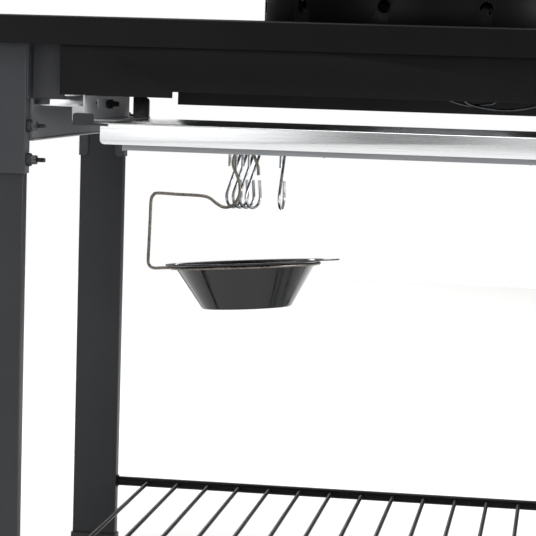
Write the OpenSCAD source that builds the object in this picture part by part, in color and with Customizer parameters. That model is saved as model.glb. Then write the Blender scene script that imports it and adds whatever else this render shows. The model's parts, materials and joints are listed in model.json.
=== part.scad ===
/* [Cart] */
// Width across the outer faces of the legs
cart_w = 960; // [940:10:1000]
// Depth across the outer faces of the legs
cart_d = 500; // [490:5:520]
// Height of the table top above the floor
table_h = 700; // [695:5:710]
// Width of a leg's broad face
leg_w = 60; // [56:1:64]
// Depth of a leg
leg_t = 20; // [18:1:24]
// Height of the lower end of the leg sleeves
sleeve_z = 534; // [500:1:540]
// Radius of the wheels
wheel_r = 75; // [65:1:77]

/* [Front shelf] */
// Width of the shelf
shelf_w = 680; // [640:10:700]
// Depth of the shelf
shelf_d = 233; // [210:1:240]
// Height of the shelf's upper face
shelf_z = 590.4; // [588:0.1:592]
// Height of the shelf's front face
shelf_face = 22.4; // [18:0.1:24]

/* [Hooks and drip bowl] */
// Wire diameter of the S-hooks
hook_wire = 3; // [2:0.1:3.2]
// Radius of an S-hook's lower bend, to the wire's centre
hook_low_r = 11.5; // [9:0.5:12]
// Rim radius of the drip bowl
drip_r = 83.5; // [80:0.5:84]
// Depth of the drip bowl
drip_h = 48; // [40:1:52]

/* [Kettle] */
// Radius of the kettle at its rim
kettle_r = 285; // [284:1:286]
// Depth of the kettle's bowl
bowl_h = 225; // [224:1:226]
// Height of the rim above the floor
rim_z = 897; // [896:1:900]
// Height of the lid's dome above its skirt
dome_h = 177; // [160:1:190]

/* [Hidden] */
$fn = 64;

sheet = 1.5;                          // thickness of the folded steel sheet
leg_x = cart_w / 2 - leg_w / 2;       // centre of a leg, across
leg_y = cart_d / 2 - leg_t / 2;       // centre of a leg, in depth
leg_in = cart_w / 2 - leg_w;          // inner side of a leg
table_under = table_h - sheet;
lip = 12.6;                           // width of a sleeve's turned-in lips
leg_gap = 0.3;                        // clearance of a leg in its sleeve
tube_w = leg_w - 2 * sheet - 2 * leg_gap;
tube_t = leg_t - 2 * sheet - 2 * leg_gap;
tube_top = 640;
foot_floor = 5;                       // plastic under a leg's end
foot_h = 40;
bolt_r = 2.5;
bolt_hole_r = 2.6;
front_bolts_z = [548.5, 584];
rear_bolts_z = [584, 650];
spacer_t = 4.5;
nut_t = 6;
thread_out = 19.5;                    // how far a leg bolt stands out of the leg's inner side

axle_r = 5;
axle_out = 319.5;                     // half the axle's length with its caps
wheel_w = 50;
wheel_y = cart_d / 2 + 6 + wheel_w / 2;
tyre_t = 16;
run_gap = 0.05;                       // radial clearance of a running fit
right_leg_z = 45;                     // lower end of the legs that carry the axle

rail_z = 568;
rail_h = 45;
rail_x = leg_in - 1;                  // inner face of a side rail is sheet less than this
rail_flange = 25;

table_w = 1056;
table_d = 524;
table_skirt = 30;
table_hole_r = 172;
apron_half = 384;
apron_step = 264;                     // half the width over which the apron is cut higher
apron_end_z = 618;
apron_mid_z = 624.4;
rear_apron_half = 349;
rear_apron_z = 603;
gusset_y = 226.5;
gusset_z = 613;

shelf_front = cart_d / 2;             // the shelf's face lies in the plane of the legs' faces
shelf_rear = shelf_front - shelf_d;
shelf_low = shelf_z - shelf_face;
shelf_t = 1.2;
shelf_end = shelf_w / 2;
bracket_x = shelf_end + 17;           // inner face of a shelf bracket
bracket_z = shelf_z + 1.2;
bracket_top = 620;
bracket_rear = 32;
slot_y = 139;
slot_z = 608;
strap_z = 605.5;

strip_y = 240;                        // front face of the hook rail
strip_half = 318;
strip_z = 562;
rod_y = 222;
rod_z = 566.4;
rod_r = 1.6;
peg_x = 188.5;
peg_z = 566;
peg_r = 2;
hook_up_r = 8;
hook_up_z = 562;
hook_low_z = 517.4;
hook_tip_up = 13;
hook_tip_low = 17;
hook_yaw = 32;                        // how far the bunched hooks stand turned
hook_xs = [-201, -194.2, -187.4, -180.6, -150.5];
holder_y = 235.5;
holder_wire = 3.3;
drip_x = -184.8;
drip_z = 450.2;
drip_tilt = -4.2;                     // the bowl leans this far down to the right
drip_lean = -3.4;                     // and its front edge stands this far up
drip_base_r = 48.2;
drip_t = 1.2;
drip_body_r = 75;
ring_r = drip_body_r + 2.2;

kettle_y = 10;
shell = 2;
bead_r = 4.5;
lid_z = rim_z + 3;                    // lower edge of the closed lid
skirt_h = 12;
dome_z = lid_z + skirt_h;
lid_r = kettle_r + 6;
ring_wall = 3.5;
ring_in = 203.5;
ring_top = 739.2;
vent_r = 16;
vent_at = 62;
shaft_r = 4;
hanger_r = 103;
hanger_z = 656.5;
pan_r = 99.5;
pan_z = 658.8;
pan_floor = 624;
lever_z = 666.5;
lever_turn = -72.7;
lever_len = 225;
charcoal_z = 776;
charcoal_r = 228;
grate_z = 880;
grate_r = 266;
flap_x = 158;                         // hinge line of the grate's flaps
grate_rod = 2.5;
hinge_y = kettle_y + 301.5;
hinge_z = 902;
hinge_r = 3;
eye_r = 7.5;                          // outer radius of the hinge's eyes
damper_turn = -25;
damper_t = 52;
damper_hole_at = 26;
damper_hole_r = 9;
rivet_r = 3;
gauge_t = 38;

// A shape and its mirror image across the object's middle plane
module both_sides() {
  children();
  mirror([1, 0, 0]) children();
}

// A rectangle about the origin with round corners
module round_rect(w, d, r) {
  square([w - 2 * r, d], center = true);
  square([w, d - 2 * r], center = true);
  for (x = [-1, 1], y = [-1, 1]) translate([x * (w / 2 - r), y * (d / 2 - r)]) circle(r);
}

// A box from one corner to the opposite one
module block(low, high) {
  translate(low) cube(high - low);
}

// Points of a smooth line through the given points, and the tube swept along it
function between(p0, p1, p2, p3, t) =
  0.5 * (2 * p1 + (p2 - p0) * t + (2 * p0 - 5 * p1 + 4 * p2 - p3) * t * t
    + (3 * p1 - p0 - 3 * p2 + p3) * t * t * t);
function smooth(p, steps) = let (n = len(p) - 1) [
  for (i = [0:n - 1], k = [0:steps - 1])
    between(p[max(i - 1, 0)], p[i], p[i + 1], p[min(i + 2, n)], k / steps),
  p[n]
];
function unit(v) = v / norm(v);
function along(p, i) = unit(p[min(i + 1, len(p) - 1)] - p[max(i - 1, 0)]);

module wire(route, r, side, steps = 4, faces = 10) {
  p = smooth(route, steps);
  n = len(p);
  rings = [
    for (i = [0:n - 1]) let (a = unit(cross(along(p, i), side)), b = cross(along(p, i), a))
      for (k = [0:faces - 1]) p[i] + r * (a * cos(360 * k / faces) + b * sin(360 * k / faces))
  ];
  walls = [
    for (i = [0:n - 2], k = [0:faces - 1]) let (j = (k + 1) % faces)
      [(i + 1) * faces + k, (i + 1) * faces + j, i * faces + j, i * faces + k]
  ];
  ends = [[for (k = [0:faces - 1]) k], [for (k = [faces - 1:-1:0]) (n - 1) * faces + k]];
  polyhedron(rings, concat(walls, ends));
}

// ---- legs ----

// Section of a sleeve: a channel with turned-in lips, open towards +Y
module sleeve_section() {
  difference() {
    round_rect(leg_w, leg_t, 2);
    round_rect(leg_w - 2 * sheet, leg_t - 2 * sheet, 1);
    translate([0, leg_t / 2]) square([leg_w - 2 * lip, 4 * sheet], center = true);
  }
}

// Rounds the lower inner corner of one lip
module lip_corner() {
  r = 6;
  translate([leg_w / 2 - lip + r, leg_t / 2 + 1, sleeve_z + r]) rotate([90, 0, 0])
    linear_extrude(sheet * 2) difference() {
      translate([-r - 1, -r - 1]) square(r + 1);
      circle(r);
    }
}

module bolt_holes(heights, r) {
  for (z = heights) translate([-leg_w, 0, z]) rotate([0, 90, 0]) cylinder(h = 2 * leg_w, r = r);
}

module sleeve(heights) {
  color("#4c4e52") difference() {
    translate([0, 0, sleeve_z]) linear_extrude(table_under - sleeve_z) sleeve_section();
    bolt_holes(heights, bolt_hole_r);
    lip_corner();
    mirror([1, 0, 0]) lip_corner();
  }
}

module leg(low, heights, axle_hole) {
  color("#46484c") difference() {
    translate([0, 0, low]) linear_extrude(tube_top - low) difference() {
      round_rect(tube_w, tube_t, 1.5);
      round_rect(tube_w - 2 * sheet, tube_t - 2 * sheet, 0.6);
    }
    bolt_holes([for (z = heights) if (z < tube_top) z], bolt_hole_r);
    if (axle_hole) translate([0, leg_t, wheel_r])
      rotate([90, 0, 0]) cylinder(h = 2 * leg_t, r = axle_r + 0.1);
  }
}

module sleeve_front_left() { translate([-leg_x, -leg_y, 0]) sleeve(front_bolts_z); }
module sleeve_front_right() { translate([leg_x, -leg_y, 0]) sleeve(front_bolts_z); }
module sleeve_rear_left() { translate([-leg_x, leg_y, 0]) mirror([0, 1, 0]) sleeve(rear_bolts_z); }
module sleeve_rear_right() { translate([leg_x, leg_y, 0]) mirror([0, 1, 0]) sleeve(rear_bolts_z); }
module leg_front_left() { translate([-leg_x, -leg_y, 0]) leg(foot_floor, front_bolts_z, false); }
module leg_front_right() { translate([leg_x, -leg_y, 0]) leg(right_leg_z, front_bolts_z, true); }
module leg_rear_left() { translate([-leg_x, leg_y, 0]) leg(foot_floor, rear_bolts_z, false); }
module leg_rear_right() { translate([leg_x, leg_y, 0]) leg(right_leg_z, rear_bolts_z, true); }

// Plastic caps under the left legs
module feet() {
  for (y = [-leg_y, leg_y]) translate([-leg_x, y, 0]) color("#222326") difference() {
    union() {
      linear_extrude(foot_h) round_rect(tube_w + 3.6, tube_t + 3.6, 3);
      linear_extrude(foot_floor - 1) round_rect(tube_w + 8, tube_t + 8, 5);
    }
    translate([0, 0, foot_floor]) linear_extrude(foot_h) round_rect(tube_w, tube_t, 1.5);
  }
}

// ---- wheels ----

module along_y(y0, y1, r) {
  translate([0, y0, 0]) rotate([-90, 0, 0]) cylinder(h = y1 - y0, r = r);
}

module axle() {
  cap_t = 12;
  color("#9a9c9f") translate([leg_x, 0, wheel_r]) {
    along_y(-axle_out + cap_t / 2, axle_out - cap_t / 2, axle_r);
    for (s = [-1, 1]) scale([1, s, 1]) {
      along_y(axle_out - cap_t, axle_out - 4, 9);
      along_y(axle_out - 4, axle_out, 6);
      along_y(cart_d / 2 + 0.3, cart_d / 2 + 5, 8);
    }
  }
}

module hub() {
  rim_r = wheel_r - tyre_t;
  color("#2a2b2e") rotate([90, 0, 0]) difference() {
    union() {
      cylinder(h = wheel_w, r = 14, center = true);
      cylinder(h = 8, r = rim_r - 5, center = true);
      difference() {
        cylinder(h = wheel_w, r = rim_r, center = true);
        cylinder(h = wheel_w + 2, r = rim_r - 6, center = true);
      }
      for (a = [0:60:300]) rotate([0, 0, a]) translate([rim_r / 2, 0, 0])
        cube([rim_r - 6, 6, wheel_w - 14], center = true);
    }
    cylinder(h = wheel_w + 2, r = axle_r + run_gap, center = true);
    for (a = [30:60:330]) rotate([0, 0, a]) translate([34, 0, 0])
      cylinder(h = wheel_w, r = 9, center = true);
  }
}

module tyre() {
  rim_r = wheel_r - tyre_t;
  color("#1b1b1d") rotate([90, 0, 0]) rotate_extrude($fn = 96) difference() {
    translate([rim_r + tyre_t / 2, 0]) round_rect(tyre_t, wheel_w, 6);
    for (y = [-12, 0, 12]) translate([wheel_r, y]) square([3, 3], center = true);
  }
}

module front_wheel_hub() { translate([leg_x, -wheel_y, wheel_r]) hub(); }
module rear_wheel_hub() { translate([leg_x, wheel_y, wheel_r]) hub(); }
module front_wheel_tyre() { translate([leg_x, -wheel_y, wheel_r]) tyre(); }
module rear_wheel_tyre() { translate([leg_x, wheel_y, wheel_r]) tyre(); }

// ---- frame ----

// Left side rail: a channel with its web inwards and a rolled bead along the lower edge
module rail() {
  end = leg_y - leg_t / 2 - 0.1;
  out = rail_x + rail_flange;
  color("#4c4e52") {
    block([-rail_x, -end, rail_z], [-rail_x + sheet, end, rail_z + rail_h]);
    block([-out, -end, rail_z], [-rail_x, end, rail_z + sheet]);
    block([-out, -end, rail_z + rail_h - sheet], [-rail_x, end, rail_z + rail_h]);
    for (y = [-end, end - sheet])
      block([-out, y, rail_z], [-rail_x, y + sheet, rail_z + rail_h]);
    translate([-rail_x + sheet, 0, rail_z + sheet]) along_y(-end, end, sheet);
  }
}

module side_rail_left() { rail(); }
module side_rail_right() { mirror([1, 0, 0]) rail(); }

// Front apron: a plate whose lower edge steps up in the middle, with folded edges
module front_apron() {
  y = -cart_d / 2;
  fold = 12;
  color("#17181a") {
    translate([0, y + sheet, 0]) rotate([90, 0, 0]) linear_extrude(sheet) polygon([
      [-apron_half, apron_end_z], [-apron_step, apron_end_z], [-apron_step, apron_mid_z],
      [apron_step, apron_mid_z], [apron_step, apron_end_z], [apron_half, apron_end_z],
      [apron_half, table_under], [-apron_half, table_under]
    ]);
    block([-apron_step, y, apron_mid_z], [apron_step, y + fold, apron_mid_z + sheet]);
    block([-apron_half, y, table_under - sheet], [apron_half, y + fold, table_under]);
    both_sides() block([-apron_half, y, apron_end_z], [-apron_half + sheet, -gusset_y, table_under]);
  }
}

module rear_apron() {
  y = leg_y - leg_t / 2 - 15;
  color("#1c1d1f") {
    block([-rear_apron_half, y, rear_apron_z], [rear_apron_half, y + sheet, table_under]);
    block([-rear_apron_half, y, rear_apron_z], [rear_apron_half, y + 12, rear_apron_z + sheet]);
    block([-rear_apron_half, y, table_under - sheet], [rear_apron_half, y + 14, table_under]);
  }
}

// Angle plates that tie the front apron to the front legs
module corner_gussets() {
  color("#4c4e52") both_sides() {
    block([-leg_in, -gusset_y - sheet, gusset_z], [-apron_half, -gusset_y, table_under]);
    block([-leg_in, -cart_d / 2 + 1, gusset_z], [-leg_in + sheet, -gusset_y, table_under]);
  }
}

// Table top: a folded pan with a round opening for the kettle
module table_top() {
  color("#1b1c1e") difference() {
    translate([0, 0, table_h - table_skirt]) linear_extrude(table_skirt) round_rect(table_w, table_d, 22);
    translate([0, 0, table_h - table_skirt - 1]) linear_extrude(table_skirt + 1 - sheet)
      round_rect(table_w - 2 * sheet, table_d - 2 * sheet, 22 - sheet);
    translate([0, kettle_y, table_h - 5]) cylinder(h = 10, r = table_hole_r, $fn = 96);
  }
}

// Runs its children once at each leg bolt of the left side
module at_left_bolts() {
  for (z = front_bolts_z) translate([-leg_in, -leg_y, z]) children();
  for (z = rear_bolts_z) translate([-leg_in, leg_y, z]) children();
}

module along_x(x0, x1, r, fn = 32) {
  translate([x0, 0, 0]) rotate([0, 90, 0]) cylinder(h = x1 - x0, r = r, $fn = fn);
}

module frame_bolts() {
  head = 3;
  color("#8d8f92") both_sides() {
    at_left_bolts() {
      along_x(-leg_w, thread_out, bolt_r);
      along_x(-leg_w - head, -leg_w, 5.5);
    }
    translate([0, -slot_y, slot_z]) {
      along_x(-rail_x + sheet, -bracket_x + 12, 3);
      along_x(-rail_x + sheet, -rail_x + sheet + 1.5, 5);
    }
  }
}

module frame_spacers() {
  color("#151517") both_sides() at_left_bolts() difference() {
    along_x(0, spacer_t, 7);
    along_x(-1, spacer_t + 1, bolt_hole_r);
  }
}

module nut(at, thick, across, hole) {
  translate([at, 0, 0]) rotate([0, 90, 0]) difference() {
    cylinder(h = thick, r = across / 2 / cos(30), $fn = 6);
    translate([0, 0, -1]) cylinder(h = thick + 2, r = hole);
  }
}

module frame_nuts() {
  color("#55575a") both_sides() {
    at_left_bolts() nut(spacer_t, nut_t, 9.4, bolt_r);
    translate([0, -slot_y, slot_z]) nut(-bracket_x + 0.1, 5, 10, 3);
    translate([0, -slot_y, slot_z]) nut(-bracket_x - sheet - 5.1, 5, 10, 3);
  }
}

// Wire shelf low between the legs
module lower_rack() {
  z = 110;
  half = leg_x - tube_w / 2;
  color("#2c2d30") {
    for (y = [-leg_y, leg_y]) translate([0, y, z]) along_x(-half, half, 6);
    for (x = [-380:40:380]) translate([x, 0, z]) along_y(-leg_y, leg_y, 2.5);
    both_sides() for (y = [-leg_y, leg_y]) translate([0, y, z]) along_x(-half, -half + 2, 8);
  }
}

// ---- front shelf ----

// The shelf: a pan turned upside down, its face round at the lower corners
module front_shelf() {
  r = 5;
  color("#c9cbcd") difference() {
    translate([0, -shelf_rear, 0]) rotate([90, 0, 0]) linear_extrude(shelf_d) union() {
      translate([-shelf_end, shelf_low + r]) square([shelf_w, shelf_face - r]);
      translate([-shelf_end + r, shelf_low]) square([shelf_w - 2 * r, 2 * r]);
      for (x = [-1, 1]) translate([x * (shelf_end - r), shelf_low + r]) circle(r);
    }
    block([-shelf_end + shelf_t, -shelf_front + shelf_t, shelf_low - 1],
          [shelf_end - shelf_t, -shelf_rear - shelf_t, shelf_z - shelf_t]);
  }
}

// Left shelf bracket: an upright plate with a round hole and a long slot
module bracket() {
  color("#55575b") difference() {
    union() {
      block([-bracket_x - sheet, -shelf_front, bracket_z], [-bracket_x, -bracket_rear, bracket_top]);
      block([-bracket_x - 13, -shelf_front, bracket_z], [-bracket_x, -shelf_front + sheet, bracket_z + 15]);
      block([-bracket_x - 9, -bracket_rear - sheet, bracket_z], [-bracket_x, -bracket_rear, bracket_top]);
      block([-bracket_x - sheet, -shelf_front + 20, bracket_z],
            [-shelf_end + 12, -bracket_rear - 20, bracket_z + sheet]);
    }
    translate([-bracket_x - 5, -192, 606.7]) rotate([0, 90, 0]) cylinder(h = 10, r = 7);
    for (y = [-7, 7]) translate([-bracket_x - 5, -slot_y + y, slot_z])
      rotate([0, 90, 0]) cylinder(h = 10, r = 5.5);
    block([-bracket_x - 5, -slot_y - 7, slot_z - 5.5], [-bracket_x + 5, -slot_y + 7, slot_z + 5.5]);
    translate([-bracket_x - 5, -bracket_rear + 5, bracket_z + 14])
      rotate([90, 0, 0]) cylinder(h = 10, r = 2);
  }
}
module shelf_bracket_left() { bracket(); }
module shelf_bracket_right() { mirror([1, 0, 0]) bracket(); }

// Stainless angles between the side rails and the brackets
module bracket_straps() {
  y = -226.5;
  x_out = rail_x - sheet;
  x_in = bracket_x + sheet;
  color("#d5d6d8") both_sides() {
    block([-x_out + 17, y, strap_z], [-x_in, y + sheet, strap_z + 7.5]);
    block([-x_out + 0.1, y, strap_z], [-x_in, y + 20, strap_z + sheet]);
  }
}

// Dark clips at the shelf's front corners
module shelf_tabs() {
  y = -shelf_front;
  low = shelf_z - 3.4;
  r = 3;
  color("#47494d") both_sides() {
    translate([0, y, 0]) rotate([90, 0, 0]) linear_extrude(sheet) union() {
      translate([-bracket_x - 12, low]) square([22.6, 12.5 - r]);
      translate([-bracket_x - 12 + r, low]) square([22.6 - 2 * r, 12.5]);
      for (x = [r, 22.6 - r]) translate([-bracket_x - 12 + x, low + 12.5 - r]) circle(r);
    }
    block([-bracket_x + 10, y - sheet, low], [-shelf_end + 8, y, low + 2.4]);
  }
}

// Black blocks behind the shelf's rear corners
module shelf_hangers() {
  y = -shelf_rear + 0.1;
  low = shelf_z - 2.9;
  r = 5;
  color("#141416") both_sides() translate([0, y + 8, 0]) rotate([90, 0, 0]) linear_extrude(8) union() {
    translate([-shelf_end - 16, low]) square([18, 27 - r]);
    translate([-shelf_end - 16, low]) square([18 - r, 27]);
    translate([-shelf_end + 2 - r, low + 27 - r]) circle(r);
  }
}

// Strip under the shelf with ears for the rod and pegs for the bowl holder
module hook_rail() {
  t = 1.2;
  color("#b4b6b9") difference() {
    union() {
      block([-strip_half, -strip_y, strip_z], [strip_half, -strip_y + t, shelf_z - shelf_t]);
      block([-strip_half, -strip_y, shelf_z - shelf_t - t], [strip_half, -strip_y + 30, shelf_z - shelf_t]);
      for (x = [-strip_half, -106, 106, strip_half - t])
        block([x, -strip_y, rod_z - 5], [x + t, -rod_y + 5, shelf_z - shelf_t]);
      for (x = [-peg_x, peg_x]) translate([x, 0, peg_z]) along_y(-strip_y, -holder_y + 4, peg_r);
    }
    translate([0, -rod_y, rod_z]) along_x(-strip_half - 5, strip_half + 5, rod_r + run_gap);
  }
}

module hook_rod() {
  color("#c4c6c8") translate([0, -rod_y, rod_z]) along_x(-strip_half - 3, strip_half + 3, rod_r);
}

// ---- hooks, holder and drip bowl ----

// Points along an arc in the plane of a hook, [across, up]
function arc(at, r, from, to, n) = [
  for (i = [0:n]) let (a = from + (to - from) * i / n) at + r * [cos(a), sin(a)]
];

// Middle line of an S-hook: small bend about the origin, large bend below it
function s_line() = let (
  d = hook_up_z - hook_low_z,
  lean = asin((hook_up_r + hook_low_r) / d),
  low = [0, -d]
) concat(
  [[-hook_up_r, -hook_tip_up]], arc([0, 0], hook_up_r, 180, -lean, 16),
  arc(low, hook_low_r, 180 - lean, 360, 16), [low + [hook_low_r - 2, hook_tip_low]]
);

module s_hook(i, yaw) {
  out = [sin(yaw), cos(yaw), 0];
  route = [for (q = s_line()) [hook_xs[i], -rod_y, hook_up_z] + q[0] * out + [0, 0, q[1]]];
  color("#c8cacc") wire(route, hook_wire / 2, cross(out, [0, 0, 1]), 1, 12);
}

module s_hook_1() { s_hook(0, hook_yaw); }
module s_hook_2() { s_hook(1, hook_yaw); }
module s_hook_3() { s_hook(2, hook_yaw); }
module s_hook_4() { s_hook(3, hook_yaw); }
module s_hook_5() { s_hook(4, 5); }

// Bent wire that hangs from a peg and ends in a ring under the drip bowl's rim
module bowl_holder() {
  y = -holder_y;
  route = [
    [-173.5, y, 541], [-174.2, y, 549], [-177.5, y, 558], [-181.5, y, 565.2], [-188.5, y, 570],
    [-195.5, y, 566.4], [-200, y, 558], [-200, y, 549], [-196, y, 540], [-193, y, 530], [-193, y, 520],
    [-197, y, 511.5], [-203, y, 507], [-210, y, 506.5], [-217.2, y, 510], [-225, y, 515.5],
    [-235, y, 517.4], [-258.4, y, 517.8], [-279.4, y, 518.3], [-284.4, y, 516], [-286.7, y, 510],
    [-287.2, y, 490], [-287.8, y, 465], [-288.2, y, 447], [-286.4, y, 441.5], [-281.4, y, 439.4],
    [-271.4, y, 440], [-260.9, y, 440.6]
  ];
  color("#8a877f") {
    wire(route, holder_wire / 2, [0, 1, 0]);
    drip_place() translate([0, 0, -holder_wire / 2 - drip_t - 1.2])
      rotate_extrude($fn = 96) translate([ring_r, 0]) circle(holder_wire / 2, $fn = 24);
  }
}

module drip_place() {
  translate([drip_x, -holder_y, drip_z]) rotate([drip_lean, drip_tilt, 0]) children();
}

// Drip bowl: straight sides, a flat rim and a pull tab on the right
module drip_bowl() {
  t = drip_t;
  r = drip_body_r;
  base = drip_base_r;
  color("#2b2c2e") drip_place() {
    rotate_extrude($fn = 96) polygon([
      [0, -drip_h], [base - 4, -drip_h], [base, -drip_h + 3], [r, -t], [drip_r, -t], [drip_r, 0],
      [r - t, 0], [base - t, -drip_h + 3 + t], [base - 4, -drip_h + t], [0, -drip_h + t]
    ]);
    difference() {
      linear_extrude(t) union() {
        translate([r, -13]) square([drip_r - r + 10, 26]);
        translate([r, -8]) square([drip_r - r + 15, 16]);
        for (y = [-8, 8]) translate([drip_r + 10, y]) circle(5);
      }
      translate([drip_r + 8, 0, -1]) cylinder(h = t + 2, r = 3);
    }
  }
}

// ---- kettle ----

function arc_points(r, h, n) = [for (i = [0:n]) [r * cos(90 * i / n), h * sin(90 * i / n)]];
function backwards(p) = [for (i = [len(p) - 1:-1:0]) p[i]];

// The bowl's outline at a distance inside its outer surface, from the rim to the bottom
function bowl_line(off) = [for (q = arc_points(kettle_r - off, bowl_h - off, 24)) [q[0], -q[1]]];

// Rolled rim of the bowl
module rim_bead() {
  rotate_extrude($fn = 96) translate([kettle_r + 2.5, -2]) circle(bead_r, $fn = 24);
}

// Everything inside the bowl's outer surface
module bowl_envelope() {
  translate([0, kettle_y, rim_z]) {
    rotate_extrude($fn = 96) polygon(concat([[0, 0]], bowl_line(0)));
    rim_bead();
  }
}

module bowl_room() {
  translate([0, kettle_y, rim_z]) rotate_extrude($fn = 96) polygon(concat([[0, 0]], bowl_line(shell)));
}

module kettle_bowl() {
  color("#1a1b1d") difference() {
    translate([0, kettle_y, rim_z]) {
      rotate_extrude($fn = 96) polygon(concat(bowl_line(0), backwards(bowl_line(shell))));
      rim_bead();
    }
    translate([0, kettle_y, rim_z - bowl_h - 5]) {
      cylinder(h = 20, r = shaft_r + run_gap);
      for (a = [90, 210, 330]) rotate([0, 0, a]) translate([vent_at, 0, 0]) cylinder(h = 30, r = vent_r);
    }
  }
}

// Collar on the table that carries the bowl
module support_ring() {
  color("#1b1c1e") translate([0, kettle_y, 0]) difference() {
    union() {
      translate([0, 0, table_h]) difference() {
        cylinder(h = ring_top - table_h, r = ring_in + ring_wall, $fn = 96);
        translate([0, 0, -1]) cylinder(h = ring_top, r = ring_in, $fn = 96);
      }
      for (a = [45:90:315]) rotate([0, 0, a]) translate([0, 0, table_h]) linear_extrude(2.5)
        translate([ring_in + ring_wall + 7.5, 0]) round_rect(18, 30, 4);
    }
    for (a = [15:30:345]) rotate([0, 0, a]) translate([ring_in - 5, 0, table_h + 20])
      rotate([0, 90, 0]) cylinder(h = 15, r = 7);
    for (a = [45:90:315]) rotate([0, 0, a]) translate([ring_in + ring_wall + 9, 0, table_h - 1])
      cylinder(h = 6, r = 2.6);
  }
}

// Tabs inside the bowl that the grates rest on
module grate_rests() {
  color("#3a3b3e") intersection() {
    bowl_room();
    translate([0, kettle_y, 0]) {
      for (a = [45:90:315]) rotate([0, 0, a])
        block([grate_r - 8, -10, grate_z - 7.5], [kettle_r + 5, 10, grate_z - 4.3]);
      for (a = [30:120:270]) rotate([0, 0, a])
        block([charcoal_r - 8, -10, charcoal_z - 7.5], [kettle_r, 10, charcoal_z - 4.3]);
    }
  }
}

// Side handles: a bent rod with two flat feet on the bowl, one at each side
module bowl_handles() {
  color("#a9abad") both_sides() difference() {
    translate([0, kettle_y, 862]) {
      for (y = [-58, 58]) translate([0, y, 0]) {
        along_x(-326, -270, 4);
        along_x(-288, -270, 9);
      }
      translate([-326, 0, 0]) along_y(-58, 58, 4);
      for (y = [-58, 58]) translate([-326, y, 0]) sphere(4);
    }
    bowl_envelope();
  }
}

// A round grip along Y with a hole for its rod
module grip(length, r, hole) {
  rotate([-90, 0, 0]) rotate_extrude($fn = 48) difference() {
    union() {
      translate([0, -length / 2]) square([r - 2, length]);
      translate([0, -length / 2 + 4]) square([r, length - 8]);
      for (y = [-1, 1]) translate([r - 4, y * (length / 2 - 4)]) circle(4);
    }
    translate([-r, -length]) square([r + hole, 2 * length]);
  }
}

module bowl_grips() {
  color("#1d1e20") both_sides() translate([-326, kettle_y, 862]) grip(96, 12, 4.1);
}

// Sweep: hub, shaft and three blades that follow the bowl's inner surface
module vent_sweep() {
  gap = 1;
  thick = 2;
  low = rim_z - bowl_h + shell;
  function inner(off) = [
    for (a = [5.2:2.6:23.4]) [(kettle_r - shell - off) * sin(a), -(bowl_h - shell - off) * cos(a)]
  ];
  color("#6c6e70") translate([0, kettle_y, 0]) {
    for (a = [14, 134, 254]) rotate([0, 0, a]) translate([0, 0, rim_z])
      rotate_extrude(angle = 32, $fn = 96) polygon(concat(inner(gap), backwards(inner(gap + thick))));
    translate([0, 0, low + 1.6]) cylinder(h = 5, r = 28);
    translate([0, 0, lever_z]) cylinder(h = low + 2.6 - lever_z, r = shaft_r);
    translate([0, 0, lever_z - 3]) cylinder(h = 3, r = 7);
  }
}

// Lever below the bowl with two wire loops as its grip
module sweep_lever() {
  loop_y = -205;
  front = [[48, loop_y, 664], [42, loop_y, 650], [35.5, loop_y, 634], [37.5, loop_y, 622.7],
    [56, loop_y, 617.4], [77.8, loop_y, 615.8], [99, loop_y, 618.4], [116.7, loop_y, 625],
    [117, loop_y, 637], [98, loop_y, 652], [84, loop_y, 664]];
  rear = [[50, loop_y + 5, 664], [34, loop_y + 5, 648], [18, loop_y + 5, 636], [18.9, loop_y + 5, 625.4],
    [37.6, loop_y + 5, 619.5], [54, loop_y + 5, 620.5], [66.6, loop_y + 5, 623.6], [76, loop_y + 5, 638],
    [80, loop_y + 5, 664]];
  color("#2e2f31") {
    translate([0, kettle_y, lever_z]) rotate([0, 0, lever_turn]) difference() {
      union() {
        cylinder(h = 3, r = 12);
        block([0, -8, 0], [lever_len, 8, 3]);
      }
      translate([0, 0, -1]) cylinder(h = 6, r = shaft_r);
    }
    block([44, loop_y - 2.5, 662], [88, loop_y + 7.5, lever_z + 1]);
    wire(front, 1.6, [0, 1, 0], 3, 8);
    wire(rear, 1.6, [0, 1, 0], 3, 8);
  }
}

// Straps under the bowl that hold the ash catcher's flange
module ash_hangers() {
  color("#5f6163") difference() {
    translate([0, kettle_y, 0]) for (a = [0, 120, 240]) rotate([0, 0, a]) {
      block([hanger_r, -8, hanger_z], [hanger_r + 2, 8, 700]);
      block([hanger_r - 8, -8, hanger_z], [hanger_r + 2, 8, hanger_z + 2]);
    }
    bowl_envelope();
  }
}

// Ash catcher: a pan whose flange has three notches, so that a part turn frees it
module ash_catcher() {
  t = 1.5;
  h = pan_z - pan_floor;
  color("#77797b") translate([0, kettle_y, pan_floor]) difference() {
    rotate_extrude($fn = 96) polygon([
      [0, 0], [72, 0], [77, 1.6], [80, 6], [92, h], [pan_r, h], [pan_r, h + t],
      [92 - t, h + t], [80 - t, 7], [76.4, 3], [72, t], [0, t]
    ]);
    for (a = [45, 165, 285]) rotate([0, 0, a]) block([93.5, -11, h - 1], [110, 11, h + 3]);
  }
}

function half_chord(r, x) = sqrt(r * r - x * x);

module charcoal_grate() {
  color("#8b8880") translate([0, kettle_y, charcoal_z]) {
    rotate_extrude($fn = 96) translate([charcoal_r, 0]) circle(4, $fn = 24);
    for (x = [-196:28:196]) translate([x, 0, 0])
      along_y(-half_chord(charcoal_r, x), half_chord(charcoal_r, x), 3);
    for (y = [-90, 90]) translate([0, y, -4])
      along_x(-half_chord(charcoal_r, y), half_chord(charcoal_r, y), 3);
  }
}

// Arc of the grate's rim from one side of the front to the other
module rim_arc(from, to) {
  rotate([0, 0, from]) rotate_extrude(angle = to - from, $fn = 96)
    translate([grate_r, 0]) circle(4, $fn = 24);
}

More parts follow.
